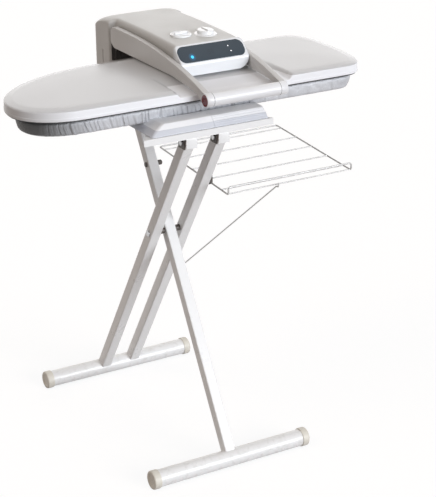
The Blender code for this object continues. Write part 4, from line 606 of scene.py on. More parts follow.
@dataclass
class Outline:
    """Plan outline that the platen and the board share: four superellipse quarters."""

    left: float = -0.530
    right: float = 0.540
    front: float = -0.1965
    rear: float = 0.1985
    nose_y: float = -0.060
    end_y: float = 0.060
    spine_ends: Pair = (-0.30, 0.40)
    spine_y: float = 0.01

    def loop(self, inset_by: float, count: int) -> Points:
        """Outline at an inset, read at even steps.

        Each quarter is centre + reach * (cos^(2/p) t, sin^(2/p) t), with its reach less the inset; it is
        listed as its centre, its tip, its side and its power.
        """
        quarters = ((0.450, self.end_y, self.right, self.rear, 2.6), (-0.150, self.nose_y, self.left, self.rear, 1.9),
                    (-0.360, self.nose_y, self.left, self.front, 2.2), (0.440, self.end_y, self.right, self.front, 3.0))
        track = []
        for index, (x, y, tip, side, power) in enumerate(quarters):
            t = np.linspace(0, np.pi / 2, 160)
            t = t[::-1] if index % 2 else t
            across = x + math.copysign(abs(tip - x) - inset_by, tip - x) * np.cos(t).clip(0) ** (2 / power)
            up = y + math.copysign(abs(side - y) - inset_by, side - y) * np.sin(t).clip(0) ** (2 / power)
            track.append(joined(across, up))
        return even(np.concatenate(track), count)

    def loops(self, insets: Points | list[float], count: int) -> Points:
        """Outlines at several insets."""
        return np.stack([self.loop(float(amount), count) for amount in insets])

    def spine(self, loop: Points) -> Points:
        """Nearest points on the middle line of the board."""
        return joined(np.clip(loop[:, 0], *self.spine_ends), self.spine_y)


# Pieces


def put(name: str, data: bpy.types.ID) -> bpy.types.Object:
    """New object in the scene."""
    thing = bpy.data.objects.new(name, data)
    bpy.context.scene.collection.objects.link(thing)
    return thing


class Skin:
    """Turns grids of points into pieces that ride on the frame's bodies."""

    def __init__(self) -> None:
        """Build every finish once."""
        effects = Effects()
        self.finishes = {finish.name: finish.build(effects) for finish in FINISHES}
        self.slots = {finish.name: finish.slot for finish in FINISHES}

    def piece(self, name: str, parts: list[Part], finish: str, body: str,
              replaces: tuple[str, ...] = (), sharp: float = 40.0, uv: Points | None = None) -> bpy.types.Object:
        """Make one piece of one or more closed skins.

        Args:
            name: the piece's name.
            parts: points and faces of each skin, about the board's working centre.
            finish: name of the finish.
            body: the frame's body that it rides on.
            replaces: the frame's nodes that it stands for.
            sharp: angle in degrees above which an edge stays sharp.
            uv: a UV pair for each point, or none.
        Returns:
            The object.
        """
        thing = self.bare(name, parts)
        mesh = thing.data
        if uv is not None:
            corner = np.zeros(len(mesh.loops), dtype=np.int32)
            mesh.loops.foreach_get("vertex_index", corner)
            pairs = uv.reshape(-1, 2)[corner].astype(np.float32)
            mesh.uv_layers.new(name="UVMap").data.foreach_set("uv", pairs.ravel())
        self.shade(mesh, sharp)
        mesh.materials.append(self.finishes[finish])
        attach(thing, body)
        if replaces:
            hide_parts(*replaces)
        LOG.info("%s: %d faces on %s", name, len(mesh.polygons), body)
        return thing

    @staticmethod
    def shade(mesh: bpy.types.Mesh, sharp: float) -> None:
        """Smooth shading that keeps edges above an angle in degrees sharp."""
        mesh.shade_smooth()
        mesh.set_sharp_from_angle(angle=math.radians(sharp))

    @staticmethod
    def bare(name: str, parts: list[Part]) -> bpy.types.Object:
        """Object of joined skins, moved to the frame's place, with its faces outwards."""
        points = np.concatenate([p.reshape(-1, 3) for p, _ in parts]) + SHIFT
        faces: list[list[int]] = []
        offset = 0
        for p, f in parts:
            faces += [[k + offset for k in face] for face in f]
            offset += p.reshape(-1, 3).shape[0]
        mesh = bpy.data.meshes.new(name)
        mesh.from_pydata(points.tolist(), [], faces)
        work = bmesh.new()
        work.from_mesh(mesh)
        bmesh.ops.recalc_face_normals(work, faces=work.faces)
        work.to_mesh(mesh)
        work.free()
        return put(name, mesh)

    def settle(self, thing: bpy.types.Object, sharp: float = 40.0) -> None:
        """Keep what a piece's modifiers make as its own mesh."""
        graph = bpy.context.evaluated_depsgraph_get()
        mesh = bpy.data.meshes.new_from_object(thing.evaluated_get(graph))
        thing.modifiers.clear()
        thing.data = mesh
        self.shade(mesh, sharp)

    def cut(self, thing: bpy.types.Object, parts: list[Part], sharp: float) -> None:
        """Cut closed skins out of a piece.

        Args:
            thing: the piece.
            parts: points and faces of each skin to cut away.
            sharp: angle in degrees above which an edge stays sharp.
        """
        tool = self.bare("cut", parts)
        step = thing.modifiers.new("cut", "BOOLEAN")
        step.solver = "EXACT"
        step.object = tool
        self.settle(thing, sharp)
        bpy.data.objects.remove(tool)

    def dress(self, node: str, finish: str, frame: dict) -> None:
        """Give a node of the frame its finish."""
        slots = frame["nodes"][node].data.materials
        slots.clear()
        slots.append(self.finishes[finish])


# Sub-assemblies


@dataclass
class Platen:
    """Painted platen cover with its sloping middle, creased wall, and a black plate of painted shade for the catch
    slot.
    """

    skin: Skin
    outline: Outline
    base: float = 1.0475
    height: float = 0.0315
    section: tuple[Pair, ...] = (
        (0.0008, 0.0), (0.0, 0.0008), (0.0, 0.0078), (0.0007, 0.0086), (0.0009, 0.0250), (0.0045, 0.0276),
        (0.0250, 0.0309), (0.0420, 0.0315))
    shares: tuple[float, ...] = (
        0.03, 0.08, 0.14, 0.21, 0.28, 0.36, 0.44, 0.52, 0.60, 0.67, 0.73, 0.78, 0.83, 0.88, 0.93, 0.97)
    inside: tuple[Pair, ...] = ((0.042, 0.0290), (0.0035, 0.0240), (0.0025, 0.0))
    inside_shares: tuple[float, ...] = (0.97, 0.5, 0.1)
    count: int = 560
    crown: float = 0.0016
    ramp: Pair = (-0.100, 0.272)
    ramp_start: float = -0.030
    ramp_depth: float = 0.015
    ramp_side: float = 0.017
    slot: Plate = Plate(0.154, 0.0036, 0.0017, -0.1963, -0.1935, 0.0002, 2)
    slot_centre: Pair = (0.092, 1.0577)

    def drop(self, x: Points, y: Points) -> Points:
        """How far the top falls at a place: a straight slope to the front between two soft side steps."""
        side = smooth_step(x, self.ramp[0], self.ramp[0] + self.ramp_side)
        side = side * (1 - smooth_step(x, self.ramp[1] - self.ramp_side, self.ramp[1]))
        run = (self.ramp_start - y) / (self.ramp_start - self.outline.front)
        soft = np.where(run < 0.12, np.clip(run + 0.12, 0, None) ** 2 / 0.48, run)
        return self.ramp_depth * side * np.clip(soft, 0, 1)

    def sunk(self, plan: Points, level: Points) -> Points:
        """Loops at their levels over the base, lowered in proportion to the drop."""
        x, y = plan[..., 0], plan[..., 1]
        return joined(x, y, self.base + level[:, None] * (1 - self.drop(x, y) / self.height))

    def build(self) -> None:
        """Build the shell: creased wall, crisp edge, sloping border and crowned top, then an inner skin below."""
        section, inside, shares = ease(self.section, 0.0024, 6), np.array(self.inside), np.array(self.shares)
        wall = self.outline.loops(section[:, 0], self.count)
        spine = self.outline.spine(wall[-1])
        level = np.concatenate([section[:, 1], self.height + self.crown * np.sin(np.pi / 2 * shares)])
        outer = self.sunk(np.concatenate([wall, toward(wall[-1], spine, shares)]), level)
        plan = np.concatenate([toward(wall[-1], spine, self.inside_shares),
                               self.outline.loops(inside[:, 0], self.count)])
        inner = self.sunk(plan, np.r_[[inside[0, 1]] * len(self.inside_shares), inside[:, 1]])
        self.skin.piece("platen_shell", [loft(np.concatenate([inner, outer]))], "platen_paint", "platen",
                        ("platen_cover",), sharp=60)
        # Painted shade: a black plate, just proud of the front wall, stands for the shaded inside of the catch slot.
        self.skin.piece("catch_slot", [self.slot.at(*self.slot_centre)], "gland_black", "platen")


@dataclass
class Board:
    """Padded board under the platen: a gathered cloth cover over foam."""

    skin: Skin
    outline: Outline
    top: float = 1.0375
    height: float = 0.0409
    inset: float = 0.0255
    count: int = 1680
    rows: int = 30
    gathers: int = 158
    depth: float = 0.0058
    voxel: float = 0.006
    pressure: float = 4.0
    swell: float = 0.0022
    hem_length: float = 2.5
    lid_run: float = 0.14
    profile: tuple[Pair, ...] = (
        (0.040, 0.0016), (0.0110, 0.0), (0.0062, 0.0036), (0.0036, 0.0130), (0.0010, 0.0250), (0.0, 0.0340),
        (0.0020, 0.0385), (0.0075, 0.0402), (0.0200, 0.0407), (0.0500, 0.0409))
    shares: tuple[float, ...] = (0.15, 0.35, 0.6, 0.85, 0.97)
    waves: tuple[tuple[float, int, float], ...] = ((1.3, 7, 0.0), (1.0, 17, 1.0), (0.8, 29, 2.0), (0.55, 53, 0.4))
    nose: Pair = (-0.440, -0.375)
    end: Pair = (0.06, 0.24)

    def smooth(self) -> tuple[Points, Points]:
        """Cover before its gathers: the eased profile of (draw in, height), carried round the outline.

        Returns:
            Grid of points, and the length along the section at each row.
        """
        shares = np.array(self.shares)
        section = even(ease(self.profile, 0.004, 6), self.rows, closed=False)
        loops = self.outline.loops(self.inset + section[:, 0], self.count)
        plan = np.concatenate([loops, toward(loops[-1], self.outline.spine(loops[-1]), shares)])
        level = np.r_[section[:, 1], [self.height] * len(shares)]
        run = np.r_[0, np.cumsum(np.hypot(*np.diff(section, axis=0).T))]
        grid = joined(plan[..., 0], plan[..., 1], (self.top - self.height + level)[:, None])
        return grid, np.r_[run, run[-1] + self.lid_run * shares]

    def swollen(self, grid: Points, faces: list[list[int]]) -> Points:
        """Points of the cover after the foam has pushed it out: cloth under pressure, its moves capped.

        The cloth runs on a remeshed copy; the cover's own points are then drawn to its nearest places.
        """
        form = self.skin.bare("foam_form", [(grid, faces)])
        remesh = form.modifiers.new("voxels", "REMESH")
        remesh.mode = "VOXEL"
        remesh.voxel_size = self.voxel
        self.skin.settle(form)
        cloth = form.modifiers.new("cloth", "CLOTH")
        cloth.settings.use_pressure = True
        cloth.settings.uniform_pressure_force = self.pressure
        cloth.settings.effector_weights.gravity = 0
        scene = bpy.context.scene
        for frame in range(1, 21):
            scene.frame_set(frame)
        self.skin.settle(form)
        cover = self.skin.bare("cover_form", [(grid, faces)])
        cover.modifiers.new("wrap", "SHRINKWRAP").target = form
        self.skin.settle(cover)
        places = np.zeros(len(cover.data.vertices) * 3)
        cover.data.vertices.foreach_get("co", places)
        moved = places.reshape(grid.shape) - SHIFT - grid
        for thing in (form, cover):
            bpy.data.objects.remove(thing)
        scene.frame_set(1)
        reach = np.linalg.norm(moved, axis=2, keepdims=True)
        return grid + moved * np.minimum(1, self.swell / np.maximum(reach, 1e-9))

    def folds(self, grid: Points) -> Points:
        """How far each point stands out, by its length along the edge and its height.

        Gathers are |sin(phase / 2)|^0.8 ridges with narrow valleys; they fade at the smooth nose, and at
        the right end long slanting folds take their place.
        """
        turn = 2 * np.pi * np.linspace(0, 1, self.count, endpoint=False)
        wobble = sum(a * np.sin(n * turn + p) for a, n, p in self.waves)
        strength = 0.62 + 0.30 * np.sin(41 * turn + 0.7) * np.sin(5 * turn) + 0.24 * np.sin(67 * turn)
        x = grid[0, :, 0]
        rise = np.clip((grid[..., 2] - self.top + self.height) / self.height, 0, 1)
        right = smooth_step(x, *self.end)
        lean = 1.9 * np.sin(9 * turn) + 1.5 * np.sin(37 * turn + 1.1)
        phase = self.gathers * turn + 1.6 * wobble + lean * rise
        ridge = np.abs(np.sin(phase / 2)) ** 0.8 - 0.60
        fine = 0.22 * np.sin(2 * phase + 5 * rise + 1.3) + 0.16 * np.sin(3.1 * phase + 7 * rise)
        slant = 46 * turn + 1.8 * np.pi * rise + 1.3 * wobble
        long = np.abs(np.sin(slant / 2 + 0.35 * np.sin(slant))) ** 1.2 - 0.45
        gather = (ridge + fine) * smooth_step(x, *self.nose) * (1 - 0.85 * right) * (1 - 0.40 * rise)
        fade = 1 - smooth_step(rise, 0.80, 0.99)
        return self.depth * strength * fade * (gather + 0.50 * long * right * (1 - 0.4 * rise))

    def build(self) -> None:
        """Build the cloth: swell the smooth cover, then gather it."""
        grid, run = self.smooth()
        grid, faces = loft(grid)
        push = self.folds(grid)
        ahead = unit(np.roll(grid, -2, axis=1)[..., :2] - np.roll(grid, 2, axis=1)[..., :2])
        grid = self.swollen(grid, faces)
        grid[..., 0] += ahead[..., 1] * push
        grid[..., 1] -= ahead[..., 0] * push
        uv = joined(np.linspace(0, self.hem_length, self.count, endpoint=False), run[:, None])
        cover = self.skin.piece("pressing_cover", [(grid, faces)], "cover_cloth", "base", ("board_cover", "board_pad"),
                                sharp=80, uv=uv)


@dataclass
class Head:
    """One housing over arm and column, the white fascia, the touch panel and the top controls."""

    skin: Skin
    x: float = 0.086
    half: float = 0.105
    column_half: float = 0.124
    front_y: float = -0.036
    flare: Pair = (0.3255, 0.342)
    step: Pair = (0.3275, 0.331)
    grow_end: float = 0.400
    shoulder_y: float = 0.345
    rear_y: float = 0.4395
    bottom: float = 1.086
    column_bottom: float = 0.998
    lip: float = 0.0006
    crest: float = 1.1645
    crest_y: float = 0.200
    arch: float = 0.0055
    crown: float = 0.0012
    fall: float = 0.036
    shoulder: Pair = (0.013, 0.013)
    column_shoulder: Pair = (0.042, 0.014)
    corner: float = 0.012
    wall: float = 0.003
    slot: Plate = Plate(0.012, 0.041, 0.0012, 0.3825, 0.3855, 0.0001, 2)
    slot_z: float = 1.0415
    column_plate: Plate = Plate(0.241, 0.040, 0.0015, 0.3282, 0.3312, 0.0006, 3)
    column_plate_z: float = 1.018
    recess: Plate = Plate(0.241, 0.050, 0.0010, 0.3296, 0.3312, 0.0004, 3)
    recess_z: float = 1.0635
    rib: Plate = Plate(0.0024, 0.040, 0.0009, 0.3262, 0.3300, 0.0006, 3)
    rib_pitch: float = 0.022
    fascia_half: float = 0.1082
    fascia_low: float = 1.0818
    fascia_rise: float = 0.0008
    fascia_corners: Pair = (0.012, 0.034)
    fascia_edge: float = 0.0024
    fascia_spine: float = 0.08
    fascia_profile: tuple[Pair, ...] = ((-0.0398, 1.1605), (-0.085, 1.1164), (-0.0865, 1.0810))
    panel_top: Pair = (-0.0405, 1.1598)
    panel_bottom: Pair = (-0.085, 1.1164)
    glass: tuple[float, float, float] = (0.2095, 0.0540, 0.021)
    glass_shift: float = -0.002
    glass_steps: tuple[Pair, ...] = (
        (0.0, -0.0015), (0.0, 0.0002), (0.0003, 0.0006), (0.0010, 0.0009), (0.0030, 0.0012), (0.0080, 0.0015),
        (0.016, 0.0017))

    def top(self, y: Points | float) -> Points:
        """Height of the arched top at a place along Y: the crest less the arch times the squared share."""
        return self.crest - self.arch * ((self.crest_y - y) / (self.crest_y - self.front_y)) ** 2

    def sections(self) -> Points:
        """Sections with elliptic shoulders and a crowned top, lofted along Y.

        The half width goes from arm to column by an S; the top follows the arch, then a quarter ellipse
        down to the rear wall, where the sections close to the bottom edge.
        """
        turn = np.linspace(0, np.pi / 2, 28)[1:]
        close = np.linspace(0, 1, 16)[1:]
        y = np.r_[np.linspace(self.front_y, self.flare[0], 44), np.linspace(*self.flare, 14)[1:],
                  self.shoulder_y + (self.rear_y - self.shoulder_y) * np.sin(turn), [self.rear_y] * len(close)]
        top = self.top(np.minimum(y, self.shoulder_y))
        lowered = top[-1] - self.fall
        first = len(y) - len(turn) - len(close)
        top[first:-len(close)] -= self.fall * (1 - np.cos(turn))
        top[-len(close):] = lowered + (self.column_bottom + self.lip - lowered) * close
        share = smooth_step(y, *self.flare)
        into = np.clip(y - self.rear_y + self.corner, 0, self.corner)
        half = self.half + (self.column_half - self.half) * share - self.corner + np.sqrt(self.corner ** 2 - into ** 2)
        low = self.bottom + (self.column_bottom - self.bottom) * smooth_step(y, *self.step)
        grow = smooth_step(y, self.flare[0], self.grow_end)
        rx = self.shoulder[0] + (self.column_shoulder[0] - self.shoulder[0]) * share
        rz = self.shoulder[1] + (self.column_shoulder[1] - self.shoulder[1]) * grow
        y, top, half, low, rx, rz = (values[:, None] for values in (y, top, half, low, rx, rz))
        rz = np.minimum(rz, (top - low) * 0.8)
        t = np.linspace(0, np.pi / 2, 14)
        side = low + (top - rz - low) * np.linspace(0, 1, 10)[:-1]
        flat = np.linspace(-1, 1, 15)[1:-1] * (half - rx)
        left_x = np.concatenate([np.broadcast_to(-half, side.shape), rx * (1 - np.cos(t)) - half], axis=1)
        left_z = np.concatenate([side, top - rz + rz * np.sin(t)], axis=1)
        across = np.concatenate([left_x, flat, -left_x[:, ::-1]], axis=1)
        level = np.concatenate([left_z, np.broadcast_to(top, flat.shape), left_z[:, ::-1]], axis=1)
        bulge = np.clip(1 - (across / (half - rx * 0.5)) ** 2, 0, None) * np.clip((top - low) / 0.05, 0, 1)
        return joined(across + self.x, y, level + self.crown * bulge)

    def housing(self) -> None:
        """Housing shell with its rear slots, the column's front plate and over it a dark ribbed plate, partly dark
        mechanism and partly painted shade of the recess.
        """
        sheet = loft(self.sections(), wrap_columns=False, caps=False)
        shell = self.skin.piece("head_housing", [sheet], "body_grey", "head", ("arm_cover", "column_shell"), sharp=45)
        thick = shell.modifiers.new("wall", "SOLIDIFY")
        thick.thickness = self.wall
        thick.offset = -1
        self.skin.settle(shell, 45)
        self.skin.cut(shell, [self.slot.at(self.x + sign * self.column_half, self.slot_z) for _, sign in SIDES], 45)
        self.skin.piece("column_front", [self.column_plate.at(self.x, self.column_plate_z)], "body_grey", "head")
        # The dark ribbed plate is partly the dark mechanism and partly painted shade of the opening over the column's
        # front plate.
        ribs = [self.rib.at(self.x + self.rib_pitch * k, self.recess_z) for k in range(-5, 6)]
        self.skin.piece("pivot_recess_shade", [self.recess.at(self.x, self.recess_z), *ribs], "recess_dark", "head")

    def fascia(self) -> None:
        """White front: loops of the front outline, set back by the side profile y(z), drawn in to a middle line."""
        height = self.top(self.front_y) + self.fascia_rise - self.fascia_low
        corner, lower = self.fascia_corners
        outline = rounded_rect(2 * self.fascia_half, height, corner, 12, lower=lower)
        outline = even(outline + np.array([self.x, self.fascia_low + height / 2]), 320)
        profile = ease(self.fascia_profile, 0.005, 9)[::-1]
        t = np.linspace(0, np.pi / 2, 6)
        edge = self.fascia_edge
        loops = np.stack([inset(outline, d) for d in (0.0004, 0.0, 0.0, *(edge * (1 - np.cos(t))))])
        depth = np.interp(loops[..., 1], profile[:, 1], profile[:, 0])
        back = np.full(len(outline), self.front_y)
        rim = np.concatenate([[back, back - 0.0004, (back + depth[2] + edge) / 2],
                              depth[3:] + edge * (1 - np.sin(t))[:, None]])
        middle = joined(np.clip(outline[:, 0], self.x - self.fascia_spine, self.x + self.fascia_spine),
                        self.fascia_low + height / 2)
        inner = toward(loops[-1], middle, np.linspace(0.03, 0.97, 26))
        y = np.concatenate([rim, np.interp(inner[..., 1], profile[:, 1], profile[:, 0])])
        plan = np.concatenate([loops, inner])
        self.skin.piece("fascia_housing", [loft(joined(plan[..., 0], y, plan[..., 1]))], "fascia_white", "head",
                        ("front_fascia",), sharp=50)

    def panel(self) -> None:
        """Dark glass: a rounded plate in the panel's slope, its middle raised by a slight dome."""
        low, high = np.array(self.panel_bottom), np.array(self.panel_top)
        rise = unit(high - low)
        out = np.array([-rise[1], rise[0]])
        steps = np.array(self.glass_steps)
        width, height, _ = self.glass
        outline = rounded_rect(*self.glass, 16)
        flat = np.stack([inset(outline, draw) for draw in steps[:, 0]])
        slope = (low + high) / 2 + flat[..., 1:] * rise + steps[:, 1, None, None] * out
        grid = joined(self.x + self.glass_shift + flat[..., 0], slope[..., 0], slope[..., 1])
        uv = joined(flat[..., 0] / width + 0.5, flat[..., 1] / height + 0.5)
        self.skin.piece("touch_panel", [loft(grid)], "panel_glass", "head", ("control_glass",), uv=uv)

    def turned(self, name: str, profile: Points, bar: Plate, seat: tuple[float, float, float], tilt: float, body: str,
               node: str) -> None:
        """Turned control with a bar, built upright, then leaned back by its tilt and set on the arched top."""
        lean = np.array([[1, 0, 0], [0, math.cos(tilt), math.sin(tilt)], [0, -math.sin(tilt), math.cos(tilt)]])
        parts = [(grid @ lean + seat, faces) for grid, faces in (lathe(profile, Axis.Z, (0, 0), 96), bar.at())]
        self.skin.piece(name, parts, "cap_gloss", body, (node,), sharp=45)

    def controls(self) -> None:
        """Filler cap with its raised rim and grip bar, and the dial with its skirt, knob and pointer bar."""
        lid = [(0, 0.0), (0.0306, 0.0), (0.031, 0.0006), (0.031, 0.0040), (0.0296, 0.0058), (0.0272, 0.0060),
               (0.0258, 0.0046), (0.0240, 0.0040), (0, 0.0046)]
        grip = Plate(0.044, 0.009, 0.0044, 0.003, 0.0110, 0.0020, 6, Axis.Z)
        self.turned("filler_lid", ease(lid, 0.0012, 5), grip, (0.050, 0.053, 1.16237), 0.0290, "filler", "filler_cap")
        knob = [(0, 0.0), (0.0325, 0.0), (0.033, 0.0006), (0.0326, 0.0022), (0.0300, 0.0030), (0.0256, 0.0032),
                (0.0244, 0.0042), (0.0236, 0.0125), (0.0216, 0.0140), (0, 0.0142)]
        pointer = Plate(0.007, 0.040, 0.0030, 0.012, 0.0170, 0.0016, 6, Axis.Z)
        self.turned("dial_knob", ease(knob, 0.0014, 5), pointer, (0.119, 0.033, 1.16175), 0.0330, "dial", "steam_dial")

    def build(self) -> None:
        """Build the head's pieces."""
        self.housing()
        self.fascia()
        self.panel()
        self.controls()


@dataclass
class Yoke:
    """Two curved arms, the round handle and the red buttons in its ends."""

    skin: Skin
    x: float = 0.086
    inner: float = 0.109
    outer: float = 0.127
    crest: Pair = (0.250, 1.146)
    power: float = 2.3
    hub: Pair = (-0.245, 1.059)
    radius: float = 0.0185
    seat: float = 0.0197
    claw_angles: Pair = (80, -18)
    sole: tuple[Pair, ...] = ((-0.2025, 1.0645), (-0.190, 1.0708), (-0.060, 1.0832), (0.10, 1.0832), (0.285, 1.0832))
    seam: float = 0.105
    edge: float = 0.0028

    def outline(self) -> tuple[Points, Points]:
        """Side outline of an arm, and the share of the edge rounding that each of its points takes.

        From the crest the top falls by the share of the run to a power, ends over the handle, follows the
        handle's back inside its tube, and comes back along the toe, the flat underside and two rear arcs.
        """
        tip, heel = arc(self.hub, self.seat, *self.claw_angles, 2)
        s = np.linspace(0, 1, 44)
        (y, z), (tip_y, tip_z) = self.crest, tip
        line = np.concatenate([
            joined(y + (tip_y - y) * s, z - (z - tip_z) * s ** self.power),
            arc(self.hub, self.radius - 0.0007, *self.claw_angles, 20),
            ease([heel, *self.sole], 0.006, 6),
            arc((0.295, 1.1102), 0.027, 270, 350, 14), arc((0.300, 1.124), 0.022, 10, 90, 16)])
        line = line[np.r_[True, np.hypot(*np.diff(line, axis=0).T) > 1e-5]]
        away = np.hypot(*(line - self.hub).T)
        return line, np.interp(away, [0.018, 0.050], [0.18, 1.0])

    def handle(self) -> list[Pair]:
        """Profile of the handle's tube: open sockets at its ends and a groove near each arm."""
        r, seam, end = self.radius, self.seam, self.outer - 0.0001
        half = [(0, -end + 0.0098), (0.0169, -end + 0.0095), (0.0169, -end + 0.0004), (0.0172, -end), (0.0179, -end),
                (r, -end + 0.0006), (r, -seam - 0.0006), (r - 0.0006, -seam - 0.0002), (r - 0.0006, -seam + 0.0002),
                (r, -seam + 0.0006)]
        return [(radius, along + self.x) for radius, along in half + [(radius, -along) for radius, along in half[::-1]]]

    def build(self) -> None:
        """Build the arms, the buttons, the dark rings in the grooves and the handle."""
        outline, share = self.outline()
        for side, sign in SIDES:
            low, high = sorted((self.x + sign * self.inner, self.x + sign * self.outer))
            self.skin.piece("arm_" + side, [slab(outline, Axis.X, low, high, self.edge, 7, share)], "arm_grey", "yoke",
                            ("yoke_arm_" + side,), sharp=50)
            disc = [(0, 0.0008), (0.0090, 0.0006), (0.0135, 0.0), (0.0156, 0.0001), (0.0166, 0.0011), (0.0166, 0.006),
                    (0, 0.006)]
            face = self.x + sign * (self.outer + 0.0010)
            profile = ease([(radius, face - sign * back) for radius, back in disc], 0.0008, 5)
            self.skin.piece("button_disc_" + side, [lathe(profile, Axis.X, self.hub)], "button_red", side + "_button",
                            ("steam_button_" + side,), sharp=50)
        ring = ((-0.0008, -0.0006), (0.0001, -0.0005), (0.0001, 0.0005), (-0.0008, 0.0006))
        rings = [lathe([(self.radius + out, self.x + sign * self.seam + along) for out, along in ring], Axis.X,
                       self.hub, 96) for _, sign in SIDES]
        self.skin.piece("handle_seams", rings, "recess_dark", "yoke", sharp=50)
        self.skin.piece("handle_tube", [lathe(self.handle(), Axis.X, self.hub, 96)], "handle_white", "yoke",
                        ("handle_grip",), sharp=50)


@dataclass
class Pans:
    """The two moulded pans under the board: rim, steep flank with its crease, and a ledge that ends at the cloth."""

    skin: Skin
    left: float = -0.203
    right: float = 0.160
    front: float = -0.2468
    rear: float = 0.225
    seam: float = -0.010
    seam_half: float = 0.0004
    corner: float = 0.009
    end_share: float = 0.18
    left_share: float = 2.0
    top: float = 0.022
    under: float = 0.9957
    cloth_y: float = 0.001
    cloth_half: float = 0.1735
    rib_depth: float = 0.0005
    rib_pitch: float = 0.0048
    rib_low: Pair = (0.985, 0.987)
    rib_high: Pair = (1.005, 1.007)
    section: tuple[Pair, ...] = (
        (0.0014, 0.9803), (0.0, 0.9812), (0.0, 0.9826), (0.0014, 0.9840), (0.0084, 0.9945), (0.0090, 0.9948),
        (0.0096, 0.9958), (0.0220, 1.0078), (0.0300, 1.0085), (0.0800, 1.0085))

    def half(self, sign: int, inset_by: float) -> Points:
        """Closed half outline at an inset: the seam's two ends and two rounded corners on its own side."""
        steep = min(inset_by, self.top) * self.left_share + max(inset_by - self.top, 0)
        out = (self.left + steep) if sign < 0 else (self.right - inset_by * self.end_share)
        seam, r = self.seam + sign * self.seam_half, self.corner
        t = np.linspace(0, np.pi / 2, 14)
        low, high = self.front + inset_by, self.rear - inset_by
        first = joined(out - sign * r * (1 - np.sin(t)), low + r * (1 - np.cos(t)))
        second = joined(out - sign * r * (1 - np.cos(t)), high - r * (1 - np.sin(t)))
        return np.concatenate([[[seam, low]], first, second, [[seam, high]]])[::sign]

    def build(self) -> None:
        """Build both pans as closed forms, lowered where the cloth lies over them; the right one is finely ribbed."""
        section = even(ease(self.section, 0.0012, 5), 90, closed=False)
        for side, sign in SIDES:
            loops = np.stack([self.half(sign, float(i)) for i in section[:, 0]])
            z = section[:, 1].copy()
            if sign > 0:
                inside = smooth_step(z, *self.rib_low) * (1 - smooth_step(z, *self.rib_high))
                z += self.rib_depth * inside * np.sin(2 * np.pi * z / self.rib_pitch)
            away = smooth_step(np.abs(loops[..., 1] - self.cloth_y), self.cloth_half, self.cloth_half + 0.003)
            room = self.under + (self.section[-1][1] - self.under) * away
            grid = joined(loops[..., 0], loops[..., 1], np.minimum(z[:, None], room))
            self.skin.piece("pan_" + side, [loft(grid)], "pan_white", "base", ("base_pan_" + side,), sharp=35,
                            uv=joined(loops[..., 0], section[:, :1]))


@dataclass
class Stand:
    """Foot tubes and caps, the wire rack and its stay; the square legs keep the frame's own shape."""

    skin: Skin
    x: float = -0.035
    foot_z: float = 0.027
    foot_radius: float = 0.025
    half: float = 0.255
    tube_half: float = 0.251
    cap_length: float = 0.022
    rack_x: Pair = (0.040, 0.450)
    rack_y: Pair = (-0.229, 0.180)
    rack_z: float = 0.772
    rack_slope: float = 0.0635
    lip: float = 0.022
    cross_y: tuple[float, ...] = (-0.225, -0.190, -0.105, -0.020, 0.065, 0.150)
    frame_radius: float = 0.0025
    wire_radius: float = 0.0019
    hook: float = 0.005
    apron: Plate = Plate(0.034, 0.0290, 0.0018, -0.2517, -0.2500, 0.0004, 3)
    apron_z: float = 0.9485
    bracket_x: float = 0.050

    def foot(self, name: str, body: str, y: float) -> None:
        """Round foot tube and its two caps, flattened where they stand."""
        r, centre = self.foot_radius, (y, self.foot_z)
        profile = [(radius, self.x + sign * self.tube_half) for radius, sign in ((0, -1), (r, -1), (r, 1), (0, 1))]
        self.skin.piece(name + "_tube", [lathe(profile, Axis.X, centre, 80)], "stand_paint", body, (name,))
        cap = [(0, 0.0022), (0.0150, 0.0020), (0.0180, 0.0004), (0.0220, 0.0), (0.0252, 0.0006), (0.0270, 0.0025),
               (0.0275, 0.005), (0.0275, self.cap_length - 0.0018), (0.0268, self.cap_length),
               (0.0254, self.cap_length), (0, self.cap_length)]
        for side, sign in SIDES:
            end = self.x + sign * self.half
            profile = ease([(radius, end - sign * back) for radius, back in cap], 0.0012, 4)
            grid, faces = lathe(profile, Axis.X, centre, 80)
            grid[..., 2] = np.maximum(grid[..., 2], 0.0)
            self.skin.piece(name + "_end_" + side, [(grid, faces)], "cap_cream", body, (name + "_cap_" + side,))

    def level(self, y: float) -> float:
        """Height of the rack's plane."""
        return self.rack_z + self.rack_slope * (y - self.rack_y[0])

    def rack(self) -> None:
        """Wire rack: a bent frame with its front lip, and straight cross wires across it."""
        (left, right), (front, rear) = self.rack_x, self.rack_y
        low, lip, high = self.level(front), self.level(front) + self.lip, self.level(rear)
        corners = [(left, rear, high), (left, front, low), (left, front, lip), (right, front, lip),
                   (right, front, low), (right, rear, high)]
        parts = [tube(bends(corners, 0.009, 9, closed=True), self.frame_radius, 16, closed=True)]
        for y in self.cross_y:
            z = self.level(y) + 0.0008
            parts.append(tube(np.linspace((left, y, z), (right, y, z), 6), self.wire_radius, 12))
        self.skin.piece("rack_wires", parts, "rack_wire", "rack", ("wire_rack",))

    def stay(self) -> None:
        """Wire stay from the right leg to the rack's front wire."""
        y, z, hook = self.rack_y[0], self.rack_z, self.hook
        corners = [(0.024, 0.104, 0.420), (0.039, 0.104, 0.420), (0.200, y + hook, z - hook),
                   (0.200, y - hook, z - hook), (0.200, y - hook, 0.779)]
        self.skin.piece("stay_wire", [tube(bends(corners, 0.004, 9), self.wire_radius, 12)], "rack_wire", "outer_legs",
                        ("rack_stay",))

    def build(self) -> None:
        """Build the white plates over the outer legs' brackets, the feet, the rack and its stay."""
        aprons = [self.apron.at(self.x + sign * self.bracket_x, self.apron_z) for _, sign in SIDES]
        self.skin.piece("leg_aprons", aprons, "stand_paint", "base")
        self.foot("front_foot", "inner_legs", -0.358)
        self.foot("rear_foot", "outer_legs", 0.3665)
        self.rack()
        self.stay()


